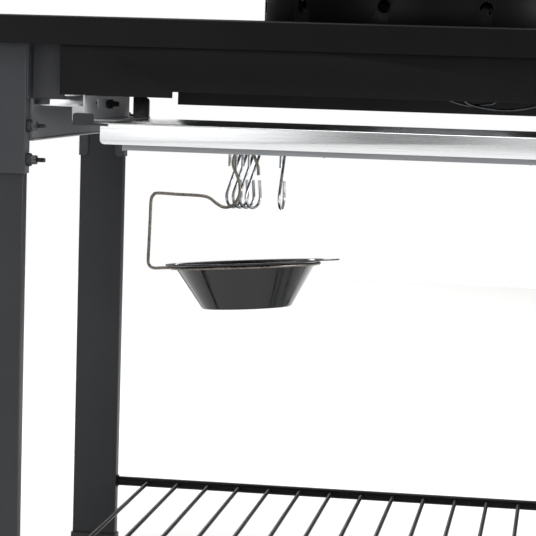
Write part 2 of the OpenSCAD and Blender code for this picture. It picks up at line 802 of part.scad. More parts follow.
module cooking_grate() {
  past = 1.6;                         // angle by which the rim runs past the edge rods
  cut = acos(flap_x / grate_r) - past;
  color("#a2a3a3") translate([0, kettle_y, grate_z]) {
    rim_arc(cut, 180 - cut);
    rim_arc(180 + cut, 360 - cut);
    for (x = concat([-flap_x, flap_x], [for (i = [-8:8]) 17 * i])) translate([x, 0, 0])
      along_y(-half_chord(grate_r, x), half_chord(grate_r, x), grate_rod);
    for (y = [-120, 120]) translate([0, y, -3.4]) along_x(-flap_x - 2, flap_x + 2, grate_rod);
    for (y = [-80, 80]) translate([-136, y, 0]) grate_loop();
  }
}

// Upright finger loop on the grate
module grate_loop() {
  rotate([90, 0, 90]) rotate_extrude(angle = 180) translate([16, 0]) circle(2, $fn = 16);
}

// Right flap: half-moon of rods with two eyes round the grate's edge rod
module flap() {
  x0 = flap_x + 12;
  cut = acos(x0 / grate_r);
  translate([0, kettle_y, grate_z]) {
    rim_arc(-cut, cut);
    translate([x0, 0, 0]) along_y(-half_chord(grate_r, x0), half_chord(grate_r, x0), grate_rod);
    for (x = [x0 + 17:17:grate_r - 10]) translate([x, 0, 0])
      along_y(-half_chord(grate_r, x), half_chord(grate_r, x), grate_rod);
    translate([x0, 0, 0]) rotate([0, 90, 0]) cylinder(h = grate_r - x0, r = grate_rod);
    for (y = [-100, 100]) translate([flap_x, y, 0]) difference() {
      union() {
        along_y(-4, 4, 5);
        block([0, -3, -1.5], [x0 - flap_x, 3, 1.5]);
      }
      along_y(-5, 5, grate_rod + run_gap);
    }
  }
}
module grate_flap_right() { color("#a2a3a3") flap(); }
module grate_flap_left() { color("#a2a3a3") mirror([1, 0, 0]) flap(); }

// ---- lid ----

// Outline of the dome and skirt at a distance inside the lid's outer surface
function lid_line(off) = concat(
  [[lid_r - off, 0]], [for (q = arc_points(lid_r - off, dome_h - off, 28)) [q[0], q[1] + skirt_h]]
);

module lid_envelope() {
  translate([0, kettle_y, lid_z]) {
    rotate_extrude($fn = 96) polygon(concat([[0, 0]], lid_line(0)));
    rotate_extrude($fn = 96) translate([lid_r + 0.5, 2.5]) circle(2.5, $fn = 24);
  }
}

// Places children on the dome, +Z along the surface's normal
module on_dome(turn, t) {
  x = lid_r * cos(t);
  z = dome_h * sin(t);
  up = atan2(sin(t) / dome_h, cos(t) / lid_r);
  translate([0, kettle_y, dome_z]) rotate([0, 0, turn])
    translate([x, 0, z]) rotate([0, 90 - up, 0]) children();
}

// Dome and skirt with the damper's flat seat, its rivet, four holes and the gauge's hole
module lid_shell() {
  difference() {
    union() {
      translate([0, kettle_y, lid_z]) {
        rotate_extrude($fn = 96) polygon(concat(lid_line(0), backwards(lid_line(shell))));
        rotate_extrude($fn = 96) translate([lid_r + 0.5, 2.5]) circle(2.5, $fn = 24);
      }
      on_dome(damper_turn, damper_t) {
        translate([0, 0, -6]) cylinder(h = 9, r = 46);
        cylinder(h = 9, r = rivet_r);
      }
    }
    on_dome(damper_turn, damper_t) for (a = [0:90:270]) rotate([0, 0, a])
      translate([damper_hole_at, 0, -20]) cylinder(h = 40, r = damper_hole_r);
    on_dome(-90, gauge_t) translate([0, 0, -20]) cylinder(h = 40, r = 3.2);
  }
}

// Disc that turns on the lid's rivet to open or close the four holes
module lid_damper() {
  color("#b9bbbd") on_dome(damper_turn, damper_t) translate([0, 0, 3.3]) difference() {
    union() {
      cylinder(h = 1.8, r = 42);
      translate([0, 0, 1.8]) cylinder(h = 3, r = 10);
      translate([34, 0, 1.8]) cylinder(h = 14, r = 6);
    }
    translate([0, 0, -1]) cylinder(h = 12, r = rivet_r + run_gap);
    for (a = [45:90:315]) rotate([0, 0, a])
      translate([damper_hole_at, 0, -1]) cylinder(h = 5, r = damper_hole_r);
  }
}

module lid_handle() {
  z = 1122;
  color("#a9abad") difference() {
    translate([0, kettle_y, 0]) {
      for (x = [-58, 58]) translate([x, 0, 1060]) {
        cylinder(h = z - 1060, r = 4);
        cylinder(h = 29, r = 11);
        translate([0, 0, z - 1060]) sphere(4);
      }
      translate([0, 0, z]) along_x(-58, 58, 4);
    }
    lid_envelope();
  }
}

module lid_grip() {
  color("#1d1e20") translate([0, kettle_y, 1122]) rotate([0, 0, 90]) grip(96, 14, 4.1);
}

module thermometer_case() {
  color("#c3c5c7") on_dome(-90, gauge_t) {
    difference() {
      translate([0, 0, 3]) cylinder(h = 14, r = 31);
      translate([0, 0, 7]) cylinder(h = 12, r = 28.5);
    }
    translate([0, 0, -38]) cylinder(h = 46, r = 3);
    cylinder(h = 3.2, r = 8);
    translate([0, 0, 7]) cylinder(h = 5, r = 1.2);
  }
}

module thermometer_needle() {
  color("#b3261e") on_dome(-90, gauge_t) translate([0, 0, 10]) rotate([0, 0, 150]) difference() {
    union() {
      cylinder(h = 1.4, r = 3.2);
      linear_extrude(1) polygon([[-8, -1.6], [23, -0.5], [23, 0.5], [-8, 1.6]]);
    }
    translate([0, 0, -1]) cylinder(h = 4, r = 1.2 + run_gap);
  }
}

// ---- lid hinge ----

module hinge_bracket() {
  low = hinge_z - 40;
  wall_y = kettle_y + kettle_r;
  color("#2c2d2f") difference() {
    union() {
      for (x = [-19, 16]) {
        block([x, wall_y, low], [x + 3, hinge_y + 4, low + 26]);
        block([x, hinge_y - eye_r, low + 12], [x + 3, hinge_y + eye_r, hinge_z]);
        translate([0, hinge_y, hinge_z]) along_x(x, x + 3, eye_r);
      }
      block([-19, wall_y, low], [19, wall_y + 2.5, low + 26]);
    }
    translate([0, hinge_y, hinge_z]) along_x(-30, 30, hinge_r + 0.02);
  }
}

// Tongue on the lid, its eye round the hinge pin
module lid_tongue() {
  difference() {
    union() {
      translate([0, hinge_y, hinge_z]) along_x(-14, 14, eye_r);
      block([-14, hinge_y - 16, hinge_z + 1], [14, hinge_y + 2, hinge_z + 10]);
      block([-14, hinge_y - 40, hinge_z + 4], [14, hinge_y - 4, hinge_z + 42]);
    }
    lid_envelope();
    bowl_envelope();
    translate([0, hinge_y, hinge_z]) along_x(-30, 30, hinge_r + run_gap);
  }
}

module lid() {
  color("#1a1b1d") {
    lid_shell();
    lid_tongue();
  }
}

module hinge_pin() {
  color("#b9bbbd") translate([0, hinge_y, hinge_z]) {
    along_x(-22, 22, hinge_r);
    along_x(-24, -19.1, 5);
  }
}

sleeve_front_left();
sleeve_front_right();
sleeve_rear_left();
sleeve_rear_right();
leg_front_left();
leg_front_right();
leg_rear_left();
leg_rear_right();
feet();
axle();
front_wheel_hub();
front_wheel_tyre();
rear_wheel_hub();
rear_wheel_tyre();
side_rail_left();
side_rail_right();
front_apron();
rear_apron();
corner_gussets();
table_top();
frame_bolts();
frame_spacers();
frame_nuts();
lower_rack();
front_shelf();
shelf_bracket_left();
shelf_bracket_right();
bracket_straps();
shelf_tabs();
shelf_hangers();
hook_rail();
hook_rod();
s_hook_1();
s_hook_2();
s_hook_3();
s_hook_4();
s_hook_5();
bowl_holder();
drip_bowl();
support_ring();
kettle_bowl();
grate_rests();
bowl_handles();
bowl_grips();
vent_sweep();
sweep_lever();
ash_hangers();
ash_catcher();
charcoal_grate();
cooking_grate();
grate_flap_left();
grate_flap_right();
lid();
lid_handle();
lid_grip();
lid_damper();
thermometer_case();
thermometer_needle();
hinge_bracket();
hinge_pin();
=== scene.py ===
# Kettle charcoal grill on a four-legged cart, with a front shelf, tool hooks and a drip bowl
import json
import math
import bmesh
import bpy
from mathutils import Matrix, Vector

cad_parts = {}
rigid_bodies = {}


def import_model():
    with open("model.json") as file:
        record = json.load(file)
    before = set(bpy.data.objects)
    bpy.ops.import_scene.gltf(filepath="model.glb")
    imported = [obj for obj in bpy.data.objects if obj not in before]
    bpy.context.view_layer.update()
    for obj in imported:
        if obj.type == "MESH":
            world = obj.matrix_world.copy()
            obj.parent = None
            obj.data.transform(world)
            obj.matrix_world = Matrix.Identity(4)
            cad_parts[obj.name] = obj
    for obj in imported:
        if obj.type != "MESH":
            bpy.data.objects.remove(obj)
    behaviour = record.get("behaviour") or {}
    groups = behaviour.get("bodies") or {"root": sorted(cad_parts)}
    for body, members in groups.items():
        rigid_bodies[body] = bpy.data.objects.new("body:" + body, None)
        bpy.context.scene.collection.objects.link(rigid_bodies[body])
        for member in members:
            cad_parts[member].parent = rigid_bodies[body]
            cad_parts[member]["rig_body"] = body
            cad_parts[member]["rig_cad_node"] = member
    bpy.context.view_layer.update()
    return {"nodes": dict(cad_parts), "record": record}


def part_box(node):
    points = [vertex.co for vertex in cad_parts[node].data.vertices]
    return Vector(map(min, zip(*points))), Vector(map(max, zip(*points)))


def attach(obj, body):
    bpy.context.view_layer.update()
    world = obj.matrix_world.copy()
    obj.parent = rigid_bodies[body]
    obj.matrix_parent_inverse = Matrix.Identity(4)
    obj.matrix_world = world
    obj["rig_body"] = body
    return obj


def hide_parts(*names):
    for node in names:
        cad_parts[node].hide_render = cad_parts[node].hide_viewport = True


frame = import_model()
nodes = frame["nodes"]
mm = 0.001
print("frame loaded:", len(nodes), "nodes")


def hexColour(code):
    # sRGB hex to the linear colour that a shader takes
    parts = [int(code[i:i + 2], 16) / 255 for i in (1, 3, 5)]
    return [c / 12.92 if c <= 0.04045 else ((c + 0.055) / 1.055) ** 2.4 for c in parts] + [1]


def clearSelection():
    if bpy.context.mode != "OBJECT":
        bpy.ops.object.mode_set(mode="OBJECT")
    bpy.ops.object.select_all(action="DESELECT")


def makeActive(piece):
    clearSelection()
    piece.select_set(True)
    bpy.context.view_layer.objects.active = piece


def pick(kind, test):
    # selects the vertices, edges or faces of the mesh in edit mode that pass the test
    bpy.ops.mesh.select_mode(type=kind)
    bpy.ops.mesh.select_all(action="DESELECT")
    mesh = bpy.context.edit_object.data
    shape = bmesh.from_edit_mesh(mesh)
    for part in {"VERT": shape.verts, "EDGE": shape.edges, "FACE": shape.faces}[kind]:
        if test(part):
            part.select_set(True)
    bmesh.update_edit_mesh(mesh)


def middle(edge):
    return (edge.verts[0].co + edge.verts[1].co) / 2


def runsAlong(edge, axis):
    # true where an edge is parallel to X, Y or Z, which are axis 0, 1 and 2
    way = edge.verts[1].co - edge.verts[0].co
    return abs(way[axis]) > 0.999 * way.length


def addBox(low, high):
    # a box between two corners in millimetres, left in edit mode with its place in its mesh
    clearSelection()
    low, high = Vector(low) * mm, Vector(high) * mm
    bpy.ops.mesh.primitive_cube_add(size=1, location=(low + high) / 2, scale=high - low)
    bpy.ops.object.transform_apply(location=True, rotation=True, scale=True)
    bpy.ops.object.mode_set(mode="EDIT")
    return bpy.context.edit_object


def addTurned(outline, at=(0, 0, 0), steps=64):
    # rings (radius, height) extruded one from the next about a Z axis through a point, in mm
    clearSelection()
    centre = Vector(at) * mm
    tiny = 0.002
    rings = [(max(r, tiny) * mm, h * mm) for r, h in outline]
    bpy.ops.mesh.primitive_circle_add(
        vertices=steps, radius=rings[0][0], location=centre + Vector((0, 0, rings[0][1])))
    bpy.ops.object.transform_apply(location=True, rotation=True, scale=True)
    bpy.ops.object.mode_set(mode="EDIT")
    bpy.ops.mesh.select_mode(type="VERT")
    bpy.ops.mesh.select_all(action="SELECT")
    for (r0, h0), (r1, h1) in zip(rings, rings[1:]):
        bpy.ops.mesh.extrude_region_move(TRANSFORM_OT_translate={"value": (0, 0, h1 - h0)})
        bpy.ops.transform.resize(value=(r1 / r0, r1 / r0, 1), center_override=centre)
    bpy.ops.mesh.select_all(action="SELECT")
    bpy.ops.mesh.remove_doubles(threshold=0.01 * mm)
    bpy.ops.mesh.normals_make_consistent(inside=False)
    return bpy.context.edit_object


def addWire(points, radius, closed=False, sides=16):
    # a round wire through points in millimetres, as a curve turned into a mesh
    clearSelection()
    bpy.ops.curve.primitive_nurbs_path_add(location=(0, 0, 0))
    piece = bpy.context.object
    curve = piece.data
    curve.splines.clear()
    line = curve.splines.new("POLY")
    line.points.add(len(points) - 1)
    for spot, p in zip(line.points, points):
        spot.co = [c * mm for c in p] + [1]
    line.use_cyclic_u = closed
    curve.bevel_depth = radius * mm
    curve.bevel_resolution = sides // 4
    curve.use_fill_caps = not closed
    curve.twist_mode = "MINIMUM"
    bpy.ops.object.convert(target="MESH")
    bpy.ops.object.mode_set(mode="EDIT")
    if not closed:
        # the cut ends are slightly rounded, as a wire cutter leaves them
        pick("EDGE", lambda e: len(e.link_faces) == 2 and any(len(f.verts) > 4 for f in e.link_faces))
        bpy.ops.mesh.bevel(offset=radius * 0.3 * mm, segments=2, affect="EDGES")
    return bpy.context.edit_object


def addRod(start, end, radius, sides=20, ease=0.25):
    # a straight bar with eased ends, between two points in millimetres
    clearSelection()
    start, end = Vector(start) * mm, Vector(end) * mm
    way = end - start
    bpy.ops.mesh.primitive_cylinder_add(
        vertices=sides, radius=radius * mm, depth=way.length, location=(start + end) / 2,
        rotation=way.to_track_quat("Z", "Y").to_euler())
    bpy.ops.object.transform_apply(location=True, rotation=True, scale=True)
    bpy.ops.object.mode_set(mode="EDIT")
    pick("EDGE", lambda e: any(len(f.verts) > 4 for f in e.link_faces))
    bpy.ops.mesh.bevel(offset=radius * ease * mm, segments=2, affect="EDGES")
    return bpy.context.edit_object


def useModifier(piece, kind, **settings):
    clearSelection()
    makeActive(piece)
    made = piece.modifiers.new(kind.lower(), kind)
    for name, value in settings.items():
        setattr(made, name, value)
    bpy.ops.object.modifier_apply(modifier=made.name)


def softenEdges(piece, width, segments=2, angle=40):
    useModifier(piece, "BEVEL", width=width * mm, segments=segments, limit_method="ANGLE",
                angle_limit=math.radians(angle), use_clamp_overlap=True)


def cut(piece, tools):
    # takes the tools' shapes out of a piece, then deletes the tools
    for tool in tools:
        clearSelection()
        useModifier(piece, "BOOLEAN", object=tool, operation="DIFFERENCE", solver="EXACT")
        bpy.data.objects.remove(tool)


def joined(parts):
    clearSelection()
    for part in parts:
        part.select_set(True)
    bpy.context.view_layer.objects.active = parts[0]
    bpy.ops.object.join()
    return parts[0]


def copyOf(piece, move=(0, 0, 0), turn=0, about=(0, 0, 0), mirrorAxis=None):
    # a copy with its own mesh, mirrored, turned about a Z axis and moved, in mm and degrees
    makeActive(piece)
    bpy.ops.object.duplicate()
    copy = bpy.context.object
    bpy.ops.object.mode_set(mode="EDIT")
    bpy.ops.mesh.select_all(action="SELECT")
    if mirrorAxis is not None:
        flip = [-1 if i == mirrorAxis else 1 for i in range(3)]
        bpy.ops.transform.resize(value=flip, center_override=(0, 0, 0))
        bpy.ops.mesh.flip_normals()
    if turn:
        # in background transform.rotate turns the other way round
        bpy.ops.transform.rotate(
            value=-math.radians(turn), orient_axis="Z", center_override=[c * mm for c in about])
    bpy.ops.transform.translate(value=[c * mm for c in move])
    bpy.ops.object.mode_set(mode="OBJECT")
    return copy


def cadCopy(node):
    # a CAD node's shape as one clean mesh: doubles merged, flat triangles joined to faces
    makeActive(nodes[node])
    bpy.ops.object.duplicate()
    copy = bpy.context.object
    copy.parent = None
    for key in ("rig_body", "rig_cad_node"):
        del copy[key]
    bpy.ops.object.mode_set(mode="EDIT")
    bpy.ops.mesh.select_all(action="SELECT")
    bpy.ops.mesh.remove_doubles(threshold=0.01 * mm)
    bpy.ops.mesh.dissolve_limited(angle_limit=math.radians(1))
    bpy.ops.object.mode_set(mode="OBJECT")
    return copy


def finish(piece, name, material, body="root", stands=(), angle=35):
    # places, cleans and names a piece, and ties it to its CAD body
    makeActive(piece)
    bpy.ops.object.transform_apply(location=True, rotation=True, scale=True)
    bpy.ops.object.mode_set(mode="EDIT")
    bpy.ops.mesh.select_all(action="SELECT")
    bpy.ops.mesh.remove_doubles(threshold=0.001 * mm)
    bpy.ops.mesh.normals_make_consistent(inside=False)
    bpy.ops.object.mode_set(mode="OBJECT")
    bpy.ops.object.shade_smooth_by_angle(angle=math.radians(angle))
    piece.name = piece.data.name = name
    piece.data.materials.clear()
    piece.data.materials.append(material)
    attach(piece, body)
    if stands:
        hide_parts(*stands)
    clearSelection()
    return piece


def addNode(tree, kind, settings=None, links=None):
    # one node with its settings, by input or by property, and its links
    node = tree.nodes.new(kind)
    for name, value in (settings or {}).items():
        if name == "stops":
            for i, (place, colour) in enumerate(value):
                stop = node.color_ramp.elements[i] if i < 2 else node.color_ramp.elements.new(place)
                stop.position = place
                stop.color = colour
        elif name in node.inputs:
            node.inputs[name].default_value = value
        else:
            setattr(node, name, value)
    for name, source in (links or {}).items():
        tree.links.new(source, node.inputs[name])
    return node


def newMaterial(name, settings):
    material = bpy.data.materials.new(name)
    material.use_nodes = True
    tree = material.node_tree
    tree.nodes.clear()
    shader = addNode(tree, "ShaderNodeBsdfPrincipled", settings)
    addNode(tree, "ShaderNodeOutputMaterial", None, {"Surface": shader.outputs["BSDF"]})
    place = addNode(tree, "ShaderNodeTexCoord").outputs["Object"]
    return material, tree, shader, place


def surfaceFrom(made, pattern, tones, gloss, depth, strength, toneFrom=None, spread=0.2):
    # one pattern drives the gloss and the bump, and the tone unless another pattern does that
    material, tree, shader, place = made
    tone = addNode(tree, "ShaderNodeValToRGB", {"stops": [
        (0.5 - spread, hexColour(tones[0])), (0.5 + spread, hexColour(tones[1]))]},
        {"Fac": (toneFrom or pattern).outputs["Fac"]})
    shine = addNode(tree, "ShaderNodeMapRange", {
        "From Min": 0.3, "From Max": 0.7, "To Min": gloss[0], "To Max": gloss[1]},
        {"Value": pattern.outputs["Fac"]})
    bump = addNode(tree, "ShaderNodeBump", {"Strength": strength, "Distance": depth * mm},
                   {"Height": pattern.outputs["Fac"]})
    tree.links.new(tone.outputs["Color"], shader.inputs["Base Color"])
    tree.links.new(shine.outputs["Result"], shader.inputs["Roughness"])
    tree.links.new(bump.outputs["Normal"], shader.inputs["Normal"])
    return material


def coatedSteel(name, dark, light, roughness, grainSize, grainDepth, specular=0.5):
    # paint on steel sheet: a fine grain in the film and a slow change of tone from the spraying
    made = newMaterial(name, {"IOR": 1.5, "Specular IOR Level": specular})
    tree, place = made[1], made[3]
    cloud = addNode(tree, "ShaderNodeTexNoise", {"Scale": 1 / (90 * mm), "Detail": 3.0},
                    {"Vector": place})
    grain = addNode(tree, "ShaderNodeTexNoise", {"Scale": 1 / (grainSize * mm), "Detail": 2.0},
                    {"Vector": place})
    return surfaceFrom(made, grain, (dark, light), (roughness - 0.05, roughness + 0.06), grainDepth, 0.5,
                       toneFrom=cloud)


def brushedMetal(name, dark, light, roughness, along, lineWidth, lineDepth):
    # sheet or wire with fine lines along one axis: each line has its own tone and gloss
    made = newMaterial(name, {"Metallic": 1.0})
    tree, place = made[1], made[3]
    stretch = [1 / (lineWidth * mm)] * 3
    stretch[along] = 1 / (60 * mm)
    lines = addNode(tree, "ShaderNodeMapping", {"Scale": stretch}, {"Vector": place})
    strokes = addNode(tree, "ShaderNodeTexNoise", {"Scale": 1.0, "Detail": 4.0, "Roughness": 0.6},
                      {"Vector": lines.outputs["Vector"]})
    return surfaceFrom(made, strokes, (dark, light), (roughness + 0.06, roughness - 0.05), lineDepth, 0.4)


def platedMetal(name, dark, light, roughness, spotSize, bumpDepth):
    # plating with faint clouding, from the bath, and tiny waves of the drawn wire beneath
    made = newMaterial(name, {"Metallic": 1.0})
    cloud = addNode(made[1], "ShaderNodeTexNoise", {"Scale": 1 / (spotSize * mm), "Detail": 3.0},
                    {"Vector": made[3]})
    return surfaceFrom(made, cloud, (dark, light), (roughness * 0.7, roughness * 1.4), bumpDepth, 0.25,
                       spread=0.15)


def mouldedPlastic(name, dark, light, roughness, grainSize, grainDepth):
    # moulded part with a fine spark-eroded grain
    return coatedSteel(name, dark, light, roughness, grainSize, grainDepth)


# powder coat: a fine orange-peel grain, drawn at 1.6 mm so that it shows, which breaks up the gloss
powderCoat = coatedSteel("texturedPowderCoat", "#2f3034", "#343539", 0.5, 1.6, 0.05, specular=0.35)
# the lower legs are sprayed satin, a little smoother and darker than the sleeves
legPaint = coatedSteel("satinLegPaint", "#28292c", "#2c2d30", 0.46, 1.2, 0.03, specular=0.3)
blackPaint = coatedSteel("satinBlackPaint", "#070708", "#0b0b0c", 0.38, 1.4, 0.03, specular=0.14)
# the rails and brackets are the legs' dark grey paint drawn lighter: painted light, standing in for the
# light from the right that falls on their inward faces
railPaintLitFromRight = coatedSteel("railPaintWithPaintedSideLight", "#6c6d70", "#76777a", 0.45, 1.6, 0.04)
bracketPaintLitFromRight = coatedSteel("bracketPaintWithPaintedSideLight", "#a9aaad", "#b3b4b7", 0.42, 1.6, 0.04)
# porcelain enamel is fired glass: a deep even black under a clear gloss, with faint waves
blackEnamel = coatedSteel("blackPorcelainEnamel", "#0b0c0e", "#111215", 0.1, 9.0, 0.06, specular=0.42)
blackNylon = mouldedPlastic("mouldedBlackNylon", "#121214", "#19191b", 0.5, 0.9, 0.04)
tyreRubber = mouldedPlastic("ribbedTyreRubber", "#141415", "#1c1c1d", 0.72, 1.2, 0.08)
brushedStainless = brushedMetal("brushedStainlessSheet", "#d2d3d5", "#dbdcdd", 0.26, 0, 0.35, 0.003)
brushedZinc = brushedMetal("brushedZincSheet", "#808285", "#909295", 0.3, 0, 0.7, 0.008)
polishedChrome = platedMetal("polishedChromePlate", "#c4c6c9", "#d2d4d6", 0.09, 4.0, 0.02)
# the hooks are nickelled darker than the handles, with uneven bright and dark runs along the bent wire
hookNickel = platedMetal("brightHookNickel", "#808286", "#c6c8cb", 0.1, 7.0, 0.04)
zincPlate = platedMetal("clearZincPlate", "#8f9193", "#a6a8ab", 0.34, 3.0, 0.03)
darkZinc = platedMetal("blackZincPlate", "#3a3b3d", "#5a5c5f", 0.36, 2.0, 0.03)
drawnWire = platedMetal("drawnSteelWire", "#625e58", "#7b766f", 0.3, 2.5, 0.03)
grateSteel = platedMetal("platedGrateSteel", "#8c8b88", "#a3a29f", 0.32, 5.0, 0.04)
rolledSteel = platedMetal("coldRolledSteel", "#5c5d60", "#737477", 0.38, 7.0, 0.03)
aluminised = brushedMetal("aluminisedSteelPan", "#8b8d90", "#a2a4a7", 0.36, 0, 1.6, 0.02)
redLacquer = mouldedPlastic("redNeedleLacquer", "#8f1612", "#a81c17", 0.35, 0.6, 0.01)
dialWhite = mouldedPlastic("whiteDialEnamel", "#e9e8e2", "#f0efea", 0.4, 0.8, 0.005)
dialInk = mouldedPlastic("blackDialInk", "#101011", "#161617", 0.5, 0.6, 0.005)
gaugeGlass = newMaterial("clearGaugeGlass",
                         {"Transmission Weight": 1.0, "Roughness": 0.02, "IOR": 1.45})[0]
print("materials made")

slotMaterials = {
    "powder_coat": powderCoat, "leg_paint": legPaint, "black_paint": blackPaint,
    "black_plastic": blackNylon,
    "rubber": tyreRubber, "zinc_steel": zincPlate, "brushed_stainless": brushedStainless,
    "chrome_wire": polishedChrome, "steel_wire": drawnWire, "black_enamel": blackEnamel,
    "plain_steel": rolledSteel, "red_needle": redLacquer,
}
for entry in frame["record"]["subparts"]:
    data = nodes[entry["node"]].data
    data.materials.clear()
    data.materials.append(slotMaterials[entry["material_slot"]])

# places taken from the frame
def boxOf(node):
    low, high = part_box(node)
    return low / mm, high / mm


def placed(piece, at=(0, 0, 0), turn=(0, 0, 0)):
    # turns a piece about the origin, in degrees about X, Y and Z, then moves it, in mm
    makeActive(piece)
    piece.rotation_euler = [math.radians(a) for a in turn]
    piece.location = Vector(at) * mm
    bpy.ops.object.transform_apply(location=True, rotation=True, scale=True)
    return piece


def arcPoints(centre, radius, start, end, count):
    # points (a, b) on an arc, angles in degrees
    turns = [math.radians(start + (end - start) * i / count) for i in range(count + 1)]
    return [(centre[0] + radius * math.cos(t), centre[1] + radius * math.sin(t)) for t in turns]


def smoothLine(points, steps):
    # a smooth line through points, the same one as the CAD wires follow
    line = []
    last = len(points) - 1
    for i in range(last):
        p0, p1 = Vector(points[max(i - 1, 0)]), Vector(points[i])
        p2, p3 = Vector(points[i + 1]), Vector(points[min(i + 2, last)])
        for k in range(steps):
            t = k / steps
            line.append(0.5 * (2 * p1 + (p2 - p0) * t + (2 * p0 - 5 * p1 + 4 * p2 - p3) * t * t
                               + (3 * p1 - p0 - 3 * p2 + p3) * t ** 3))
    return line + [Vector(points[last])]


def bentLine(points, radius, steps=8):
    # straight runs joined by round bends, as a bending tool makes them
    line = [Vector(points[0])]
    for before, corner, after in zip(points, points[1:], points[2:]):
        corner = Vector(corner)
        back, on = (Vector(before) - corner).normalized(), (Vector(after) - corner).normalized()
        half = back.angle(on) / 2
        reach = radius / math.tan(half)
        heart = corner + (back + on).normalized() * (radius / math.sin(half))
        first, final = corner + back * reach - heart, corner + on * reach - heart
        for k in range(steps + 1):
            line.append(heart + first.slerp(final, k / steps))
    return line + [Vector(points[-1])]


# legs and sleeves
sleeve = {"sheet": 1.5, "lip": 12.6, "bend": 2.0, "lipCorner": 6.0, "edge": 0.35}


def makeSleeve():
    low, high = boxOf("sleeve_front_left")
    gap = [low.x + sleeve["lip"], high.x - sleeve["lip"]]
    piece = addBox(low, high)
    pick("FACE", lambda f: abs(f.normal.z) > 0.9)
    bpy.ops.mesh.delete(type="FACE")
    for x in gap:
        pick("FACE", lambda f: f.normal.y > 0.9)
        bpy.ops.mesh.bisect(plane_co=(x * mm, 0, 0), plane_no=(1, 0, 0))
    pick("FACE", lambda f: f.normal.y > 0.9 and gap[0] * mm < f.calc_center_median().x < gap[1] * mm)
    bpy.ops.mesh.delete(type="FACE")
    # the lips end in a round corner
    pick("VERT", lambda v: v.co.y > (high.y - 0.1) * mm and v.co.z < (low.z + 0.1) * mm
         and min(abs(v.co.x - x * mm) for x in gap) < 0.1 * mm)
    bpy.ops.mesh.bevel(offset=sleeve["lipCorner"] * mm, segments=6, affect="VERTICES")
    outer = [low.x * mm, high.x * mm]
    pick("EDGE", lambda e: runsAlong(e, 2) and min(abs(middle(e).x - x) for x in outer) < 0.1 * mm)
    bpy.ops.mesh.bevel(offset=sleeve["bend"] * mm, segments=4, affect="EDGES")
    useModifier(piece, "SOLIDIFY", thickness=sleeve["sheet"] * mm, offset=-1)
    softenEdges(piece, sleeve["edge"])
    return piece


frontLeft = makeSleeve()
across = boxOf("sleeve_front_right")[0].x - boxOf("sleeve_front_left")[0].x
legX = sum(v.x for v in boxOf("sleeve_front_left")) / 2
sleeves = {
    "front_left": frontLeft,
    "front_right": copyOf(frontLeft, move=(across, 0, 0)),
    "rear_left": copyOf(frontLeft, turn=180, about=(legX, 0, 0)),
    "rear_right": copyOf(frontLeft, move=(across, 0, 0), turn=180, about=(legX, 0, 0)),
}
for corner, piece in sleeves.items():
    finish(piece, "legSleeve_" + corner, powderCoat, stands=["sleeve_" + corner])
print("sleeves made")

leg = {"sheet": 1.5, "bend": 1.6, "edge": 0.3}


def makeLeg(corner):
    piece = addBox(*boxOf("leg_" + corner))
    pick("FACE", lambda f: abs(f.normal.z) > 0.9)
    bpy.ops.mesh.delete(type="FACE")
    pick("EDGE", lambda e: runsAlong(e, 2))
    bpy.ops.mesh.bevel(offset=leg["bend"] * mm, segments=4, affect="EDGES")
    useModifier(piece, "SOLIDIFY", thickness=leg["sheet"] * mm, offset=-1)
    softenEdges(piece, leg["edge"])
    return piece


for corner in sleeves:
    finish(makeLeg(corner), "lowerLeg_" + corner, legPaint, stands=["leg_" + corner])
print("legs made")

foot = {"plate": 4, "flare": 2.2, "wall": 1.8, "corner": 3.5, "floor": 5, "edge": 0.8}


def makeFoot(low, high):
    piece = addBox(low, (high.x, high.y, low.z + foot["plate"]))
    pick("EDGE", lambda e: runsAlong(e, 2))
    bpy.ops.mesh.bevel(offset=foot["corner"] * mm, segments=4, affect="EDGES")
    pick("FACE", lambda f: f.normal.z > 0.9)
    bpy.ops.mesh.inset(thickness=foot["flare"] * mm)
    rise = high.z - low.z - foot["plate"]
    bpy.ops.mesh.extrude_region_move(TRANSFORM_OT_translate={"value": (0, 0, rise * mm)})
    bpy.ops.mesh.inset(thickness=foot["wall"] * mm)
    bpy.ops.mesh.extrude_region_move(
        TRANSFORM_OT_translate={"value": (0, 0, (foot["floor"] - high.z + low.z) * mm)})
    softenEdges(piece, foot["edge"], 3, 50)
    return piece


feetLow, feetHigh = boxOf("feet")
footDepth = 24.4            # front to back, in millimetres
front = makeFoot(feetLow, Vector((feetHigh.x, feetLow.y + footDepth, feetHigh.z)))
rear = copyOf(front, move=(0, feetHigh.y - feetLow.y - footDepth, 0))
finish(joined([front, rear]), "legFeet", blackNylon, stands=["feet"])

# wheels
wheel = {"half": 25, "bore": 5.2, "barrel": 14, "rim": 59, "rimWall": 6, "web": 4, "outer": 75,
         "ribs": 6, "rib": 6, "ribHalf": 18, "window": 9, "windowAt": 34,
         "shoulder": 5, "groove": 1.6, "treadSteps": 96}


